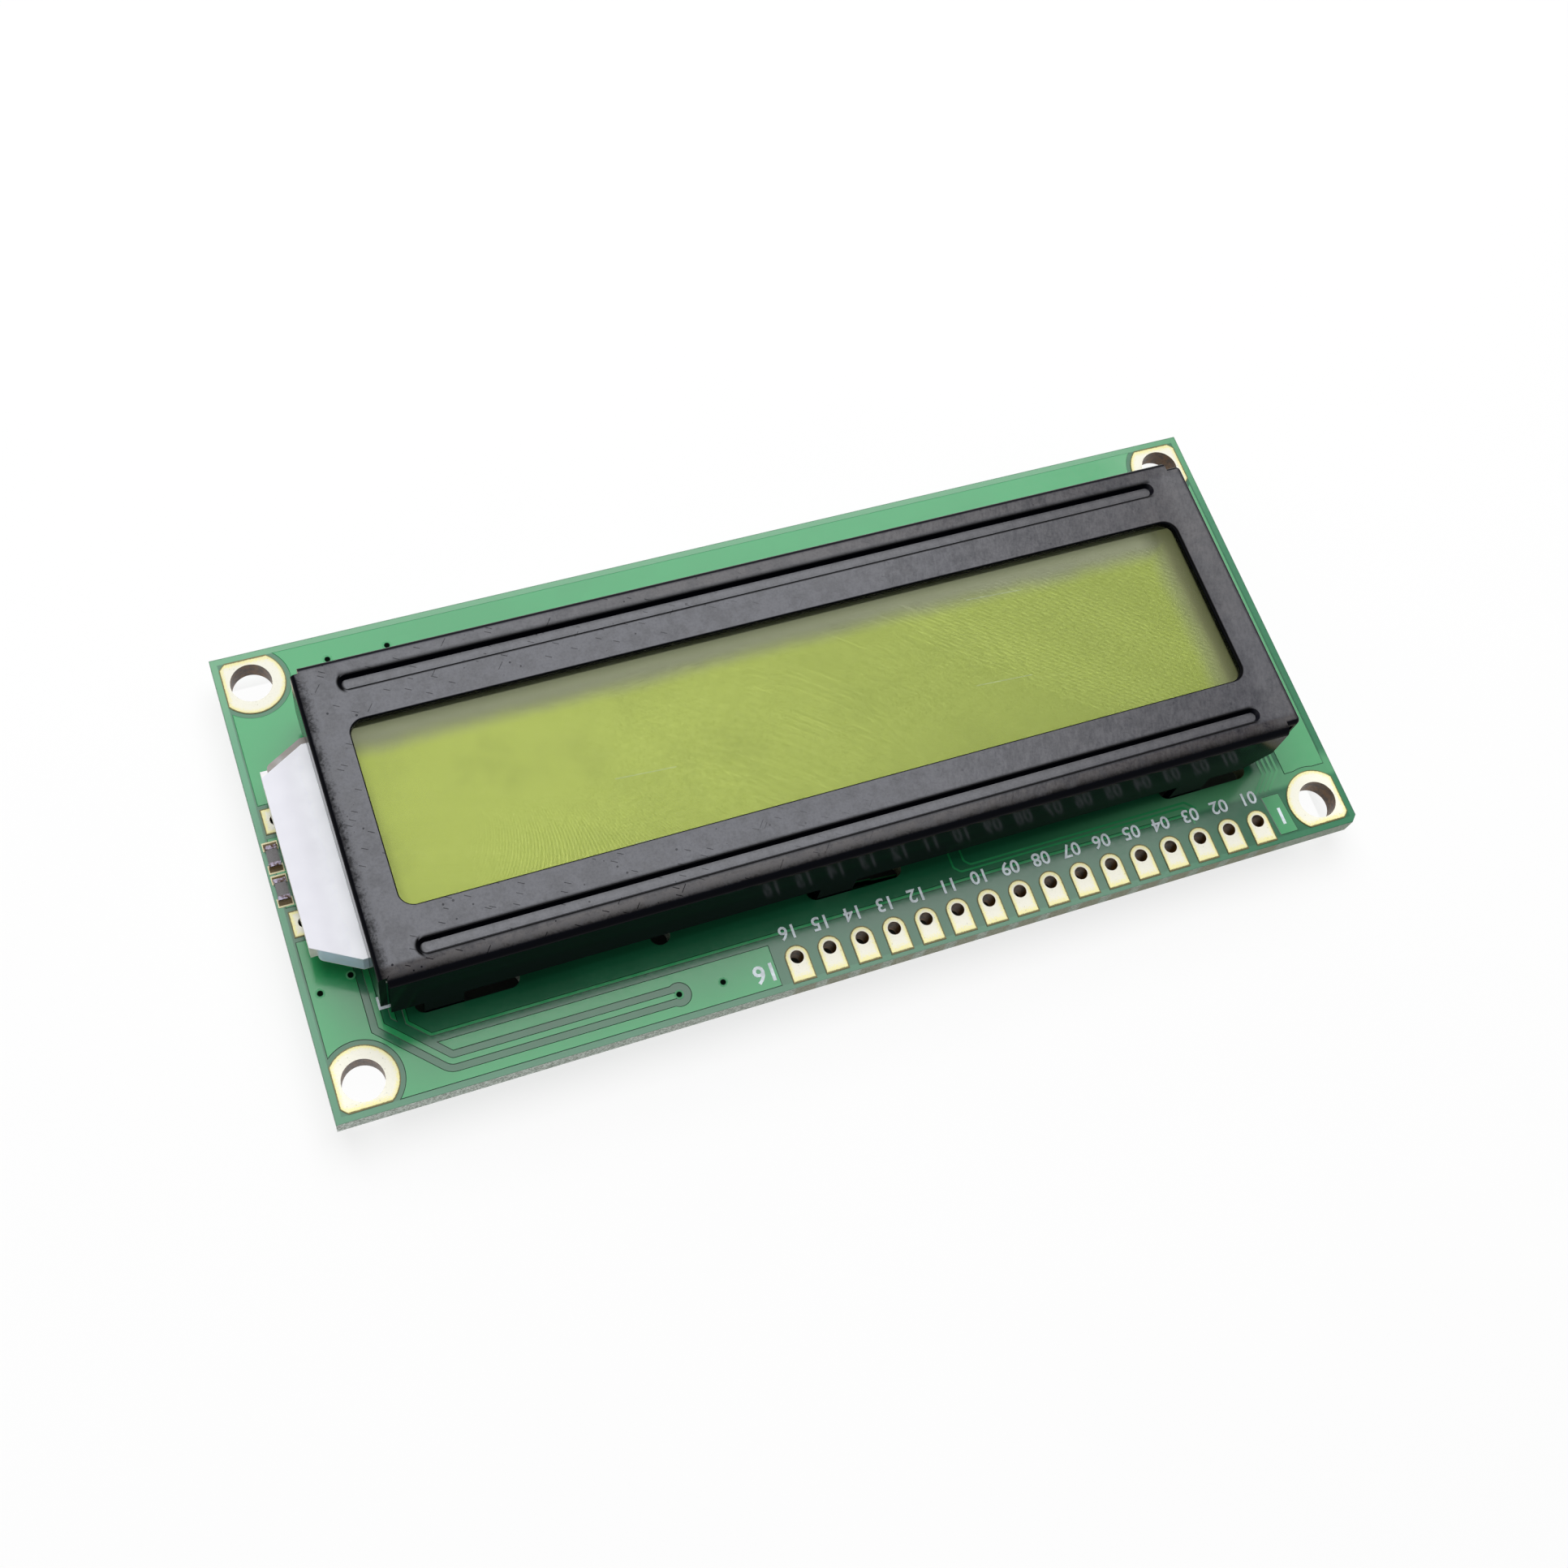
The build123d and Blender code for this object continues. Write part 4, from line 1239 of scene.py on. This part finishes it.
class MODULE_OT_rear_copper(bpy.types.Operator):
    """Copper, traces and rings on the board's rear face."""

    bl_idname = "module.rear_copper"
    bl_label = "Rear copper"

    def execute(self, context):
        colours = context.scene.module_colours
        sizes = context.scene.module_sizes
        copper = bpy.data.materials["Mask over copper"]
        rise = sizes.pour_rise / MM
        inset = sizes.board_inset / MM
        low = [BOARD_LOW[0] + inset, BOARD_LOW[1] + inset, -rise]
        high = [BOARD_HIGH[0] - inset, BOARD_HIGH[1] - inset, 0]
        routes = self.signal_routes()
        pour = cut(block(low, high), self.bare_areas(sizes, routes))
        face_outwards(pour)
        settle(pour, "copper_pour_rear", copper)
        traces = [ribbon(route, sizes.signal_width / MM * 1.6, -rise, 0, REAR_TURN) for route in routes]
        settle(join(traces), "traces_rear", copper)
        printed = print_material(colours)
        places = [middle_mm(name) for name in COVERS]
        ring = disc(places[0], COVER_RING[1], -sizes.print_rise / MM, 0, corners=96)
        cut(ring, [disc(places[0], COVER_RING[0], -1, 1, corners=96)])
        for name, piece in zip(COVERS, repeated(ring, places)):
            settle(piece, name + "_ring", printed)
        return {"FINISHED"}

    def signal_routes(self):
        """Routes from the pin lands up to the two covers."""
        routes = []
        for pin in range(PIN_COUNT):
            x = PIN_1[0] - pin * PIN_PITCH
            cover = middle_mm(COVERS[1 if pin < PIN_COUNT / 2 else 0])
            order = pin % (PIN_COUNT // 2)
            turn = math.radians(-20 - 20 * order)
            reach = COVER_TRACE_RADIUS
            end = (cover[0] + reach * math.cos(turn), cover[1] + reach * math.sin(turn))
            bend_y = -12.4 + 0.28 * order
            routes.append([(x, -14.9), (x, bend_y), (end[0], bend_y + 1.2), end])
        return routes

    def bare_areas(self, sizes, routes):
        """Everything that the rear pour leaves bare."""
        low = -CUTTER_HALF
        high = CUTTER_HALF
        row_start = (PIN_16[0] - REAR_BARE_PAST, BOARD_LOW[1] - 1, low)
        cutters = [block(row_start, (PIN_1[0] + REAR_BARE_PAST, REAR_BARE_TOP, high))]
        for route in routes:
            cutters.append(ribbon(route, REAR_LANES, low, high, REAR_TURN))
        cutters += hole_cutters(sizes, low, high)
        for name in COVERS:
            cutters.append(disc(middle_mm(name), COVER_BARE_RADIUS, low, high, corners=96))
        small = LEAD_LANDS + REAR_RESISTORS + REAR_CAPACITORS
        return cutters + cutters_round(small, 0.3, 0.5, low, high)


NUMBER_ROW_Y = -13.8
ROW_END_NUMBERS = {"16": (-8.62, -16.25), "1": (34.1, -15.86)}
CORNER_MARK = [(-35.1, -10.1), (-35.1, -10.95), (-34.42, -10.95)]
CORNER_MARK_WIDTH = 0.22


def printed_text(text, place, height, low, thick):
    """Printed characters that read from the pin row's edge, as a thin closed mesh."""
    clear_selection()
    bpy.ops.object.text_add(location=(0, 0, 0))
    label = bpy.context.object
    label.data.body = text
    label.data.size = height / 0.76
    label.data.offset = height * 0.022
    label.data.align_x = "CENTER"
    label.data.align_y = "CENTER"
    label.data.extrude = thick / 2
    label.data.resolution_u = 3
    bpy.ops.object.convert(target="MESH")
    label = bpy.context.object
    label.rotation_euler = (0, 0, math.pi)
    label.location = (place[0], place[1], low + thick / 2)
    place_in_mesh(label)
    face_outwards(label)
    return label


class MODULE_OT_print(bpy.types.Operator):
    """Printed pin numbers, end numbers and the bezel's corner mark."""

    bl_idname = "module.print"
    bl_label = "Print"

    def execute(self, context):
        sizes = context.scene.module_sizes
        ink = bpy.data.materials["Print"]
        low = BOARD_TOP + sizes.pour_rise / MM
        thick = sizes.print_rise / MM
        numbers = []
        for pin in range(PIN_COUNT):
            place = (PIN_1[0] - pin * PIN_PITCH, NUMBER_ROW_Y)
            numbers.append(printed_text(f"{pin + 1:02d}", place, sizes.number_height / MM, low, thick))
        settle(join(numbers), "pin_numbers", ink)
        height = sizes.end_number_height / MM
        ends = [printed_text(text, place, height, low, thick) for text, place in ROW_END_NUMBERS.items()]
        settle(join(ends), "end_numbers", ink)
        corner = ribbon(CORNER_MARK, CORNER_MARK_WIDTH, low, low + thick, turn=0)
        settle(corner, "corner_mark", ink)
        return {"FINISHED"}


class MODULE_OT_lands(bpy.types.Operator):
    """Gold finish of the mounting, pin and lead lands."""

    bl_idname = "module.lands"
    bl_label = "Plated lands"

    def execute(self, context):
        colours = context.scene.module_colours
        dress(number_names("mounting_pad", 4), plating_material("Mounting land", colours, mount_land_inset))
        dress(number_names("pin_pad", PIN_COUNT), plating_material("Pin land", colours, pin_land_inset))
        # The lead lands get a lighter fill as painted light, against the shade of the tape beside them.
        dress(LEAD_LANDS, plating_material("Lead land", colours, lead_land_inset, 1.2))
        return {"FINISHED"}


class MODULE_OT_bezel(bpy.types.Operator):
    """Black paint of the bezel."""

    bl_idname = "module.bezel"
    bl_label = "Bezel"

    def execute(self, context):
        dress(["bezel"], bezel_material(context.scene.module_colours))
        return {"FINISHED"}


class MODULE_OT_display(bpy.types.Operator):
    """Films, glass and lit layer of the display."""

    bl_idname = "module.display"
    bl_label = "Display"

    def execute(self, context):
        colours = context.scene.module_colours
        dress(["front_polarizer"], film_material(colours))
        dress(["front_glass", "rear_glass"], cell_material("Glass", paint(214, 226, 205), 0.01))
        dress(["liquid_crystal"], lit_layer_material(colours))
        dress(["cell_seal"], plain_material("Seal", paint(150, 152, 132), 0.4, 0.6, 0.1, 0.02))
        dress(["rear_polarizer"], plain_material("Rear film", colours.crystal_right, 0.3, 0.4, 0.3, 0.01))
        rubber = plain_material("Rubber", paint(40, 40, 42), 0.6, 0.8, 0.1, 0.03)
        dress(["rubber_connector_far", "rubber_connector_near"], rubber)
        return {"FINISHED"}


class MODULE_OT_backlight(bpy.types.Operator):
    """Finishes of the tray, guide, sheets, tape, light strip and leads."""

    bl_idname = "module.backlight"
    bl_label = "Backlight"

    def execute(self, context):
        colours = context.scene.module_colours
        dress(["backlight_tray"], plain_material("Tray plastic", colours.white_plastic, 0.4, 0.5, 0.2, 0.02))
        sheet = plain_material("White sheet", colours.white_plastic, 0.45, 0.6, 0.1, 0.01)
        dress(["diffuser_sheet", "reflector_film"], sheet)
        dress(["light_guide"], guide_material())
        dress(["end_tape"], tape_material(colours))
        dress(["led_strip_board"], strip_material(colours))
        lamp = plain_material("Light chip", paint(236, 226, 150), 0.25, 0.4, 0.1, 0.01)
        dress(number_names("led_chip", 3), lamp)
        metal = plain_material("Tinned metal", colours.solder, 0.2, 0.34, 0.2, 0.02, Metallic=1.0)
        for stem in ("backlight_lead", "solder_joint"):
            dress([stem + "_far", stem + "_near"], metal)
        return {"FINISHED"}


class MODULE_OT_chips(bpy.types.Operator):
    """Chips with their lands and solder, and the controllers' covers."""

    bl_idname = "module.chips"
    bl_label = "Chips"

    def execute(self, context):
        solder = bpy.data.materials["Tinned metal"]
        for names, label, body in (
            (FRONT_RESISTORS, "Front resistor", paint(46, 40, 44)),
            (REAR_RESISTORS, "Rear resistor", paint(38, 36, 40)),
            (REAR_CAPACITORS, "Capacitor", paint(150, 118, 84)),
        ):
            dress(names, chip_material(label, body, names))
        gold = plain_material("Chip land", paint(240, 230, 184), 0.35, 0.5, 0.15, 0.02)
        brown = paint(104, 84, 48)
        dull = plain_material("Dull solder", brown, 0.25, 0.4, 0.15, 0.03, patch=0.3, strength=1.0)
        self.mount(FRONT_RESISTORS, BOARD_TOP, 1, (0.42, 0.12), dull, gold)
        for names in (REAR_RESISTORS, REAR_CAPACITORS):
            self.mount(names, 0, -1, (0.4, 0.1), solder, gold)
        epoxy = context.scene.module_colours.epoxy
        dress(COVERS, plain_material("Epoxy", epoxy, 0.2, 0.3, 1.5, 0.15, patch=3.0, Coat_Weight=0.3))
        return {"FINISHED"}

    def mount(self, names, base, way, land, solder, gold):
        """Solder and lands of like chips: modelled at the first one and copied to the others."""
        places = [middle_mm(name) for name in names]
        fillets = repeated(chip_solder(names[0], base, way), places)
        lands = repeated(chip_lands(names[0], base, way, *land), places)
        for name, fillet, pair in zip(names, fillets, lands):
            settle(fillet, name + "_solder", solder)
            settle(pair, name + "_lands", gold)


def chip_solder(name, base, way):
    """Two fillets of solder that climb a chip's caps with a hollow slope."""
    low, high = edges_mm(name)
    rise = (high[2] - low[2]) * 0.7
    reach = 0.3
    fillets = []
    for side in (-1, 1):
        start = high[1] if side > 0 else low[1]
        ends = sorted((start, start + side * reach))
        heights = sorted((base, base + way * rise))
        fillet = block((low[0] - 0.04, ends[0], heights[0]), (high[0] + 0.04, ends[1], heights[1]))
        select_edges(fillet, lambda end: (end.y - start) * side > 0.1 and (end.z - base) * way > 0.05)
        bpy.ops.mesh.bevel(offset=min(rise, reach) - 0.04, segments=6, profile=0.15, affect="EDGES")
        bpy.ops.object.mode_set(mode="OBJECT")
        bpy.ops.object.shade_smooth_by_angle(angle=math.radians(50))
        fillets.append(fillet)
    return join(fillets)


def chip_lands(name, base, way, reach, overhang):
    """Two flat plated lands under a chip's ends."""
    low, high = edges_mm(name)
    lands = []
    for side in (-1, 1):
        start = high[1] if side > 0 else low[1]
        ends = sorted((start - side * 0.25, start + side * reach))
        heights = sorted((base, base + way * 0.035))
        corner = (low[0] - overhang, ends[0], heights[0])
        lands.append(block(corner, (high[0] + overhang, ends[1], heights[1])))
    return join(lands)


class MODULE_PT_panel(bpy.types.Panel):
    """The module's operators, in the order in which they run."""

    bl_idname = "MODULE_PT_panel"
    bl_label = "Display module"
    bl_space_type = "VIEW_3D"
    bl_region_type = "UI"
    bl_category = "Display module"

    def draw(self, context):
        for operator in OPERATORS:
            self.layout.operator(operator.bl_idname)
        for settings in (context.scene.module_sizes, context.scene.module_colours):
            for name in settings.bl_rna.properties.keys():
                if name not in ("rna_type", "name"):
                    self.layout.prop(settings, name)


OPERATORS = (
    MODULE_OT_stage,
    MODULE_OT_board,
    MODULE_OT_front_copper,
    MODULE_OT_rear_copper,
    MODULE_OT_print,
    MODULE_OT_lands,
    MODULE_OT_bezel,
    MODULE_OT_display,
    MODULE_OT_backlight,
    MODULE_OT_chips,
)
CLASSES = (ModuleColours, ModuleSizes, *OPERATORS, MODULE_PT_panel)


def register():
    for kind in CLASSES:
        bpy.utils.register_class(kind)
    bpy.types.Scene.module_colours = bpy.props.PointerProperty(type=ModuleColours)
    bpy.types.Scene.module_sizes = bpy.props.PointerProperty(type=ModuleSizes)


def unregister():
    del bpy.types.Scene.module_sizes
    del bpy.types.Scene.module_colours
    for kind in reversed(CLASSES):
        bpy.utils.unregister_class(kind)


def main():
    register()
    for step in (
        bpy.ops.module.stage,
        bpy.ops.module.board,
        bpy.ops.module.front_copper,
        bpy.ops.module.rear_copper,
        bpy.ops.module.print,
        bpy.ops.module.lands,
        bpy.ops.module.bezel,
        bpy.ops.module.display,
        bpy.ops.module.backlight,
        bpy.ops.module.chips,
    ):
        step()


if __name__ == "__main__":
    main()
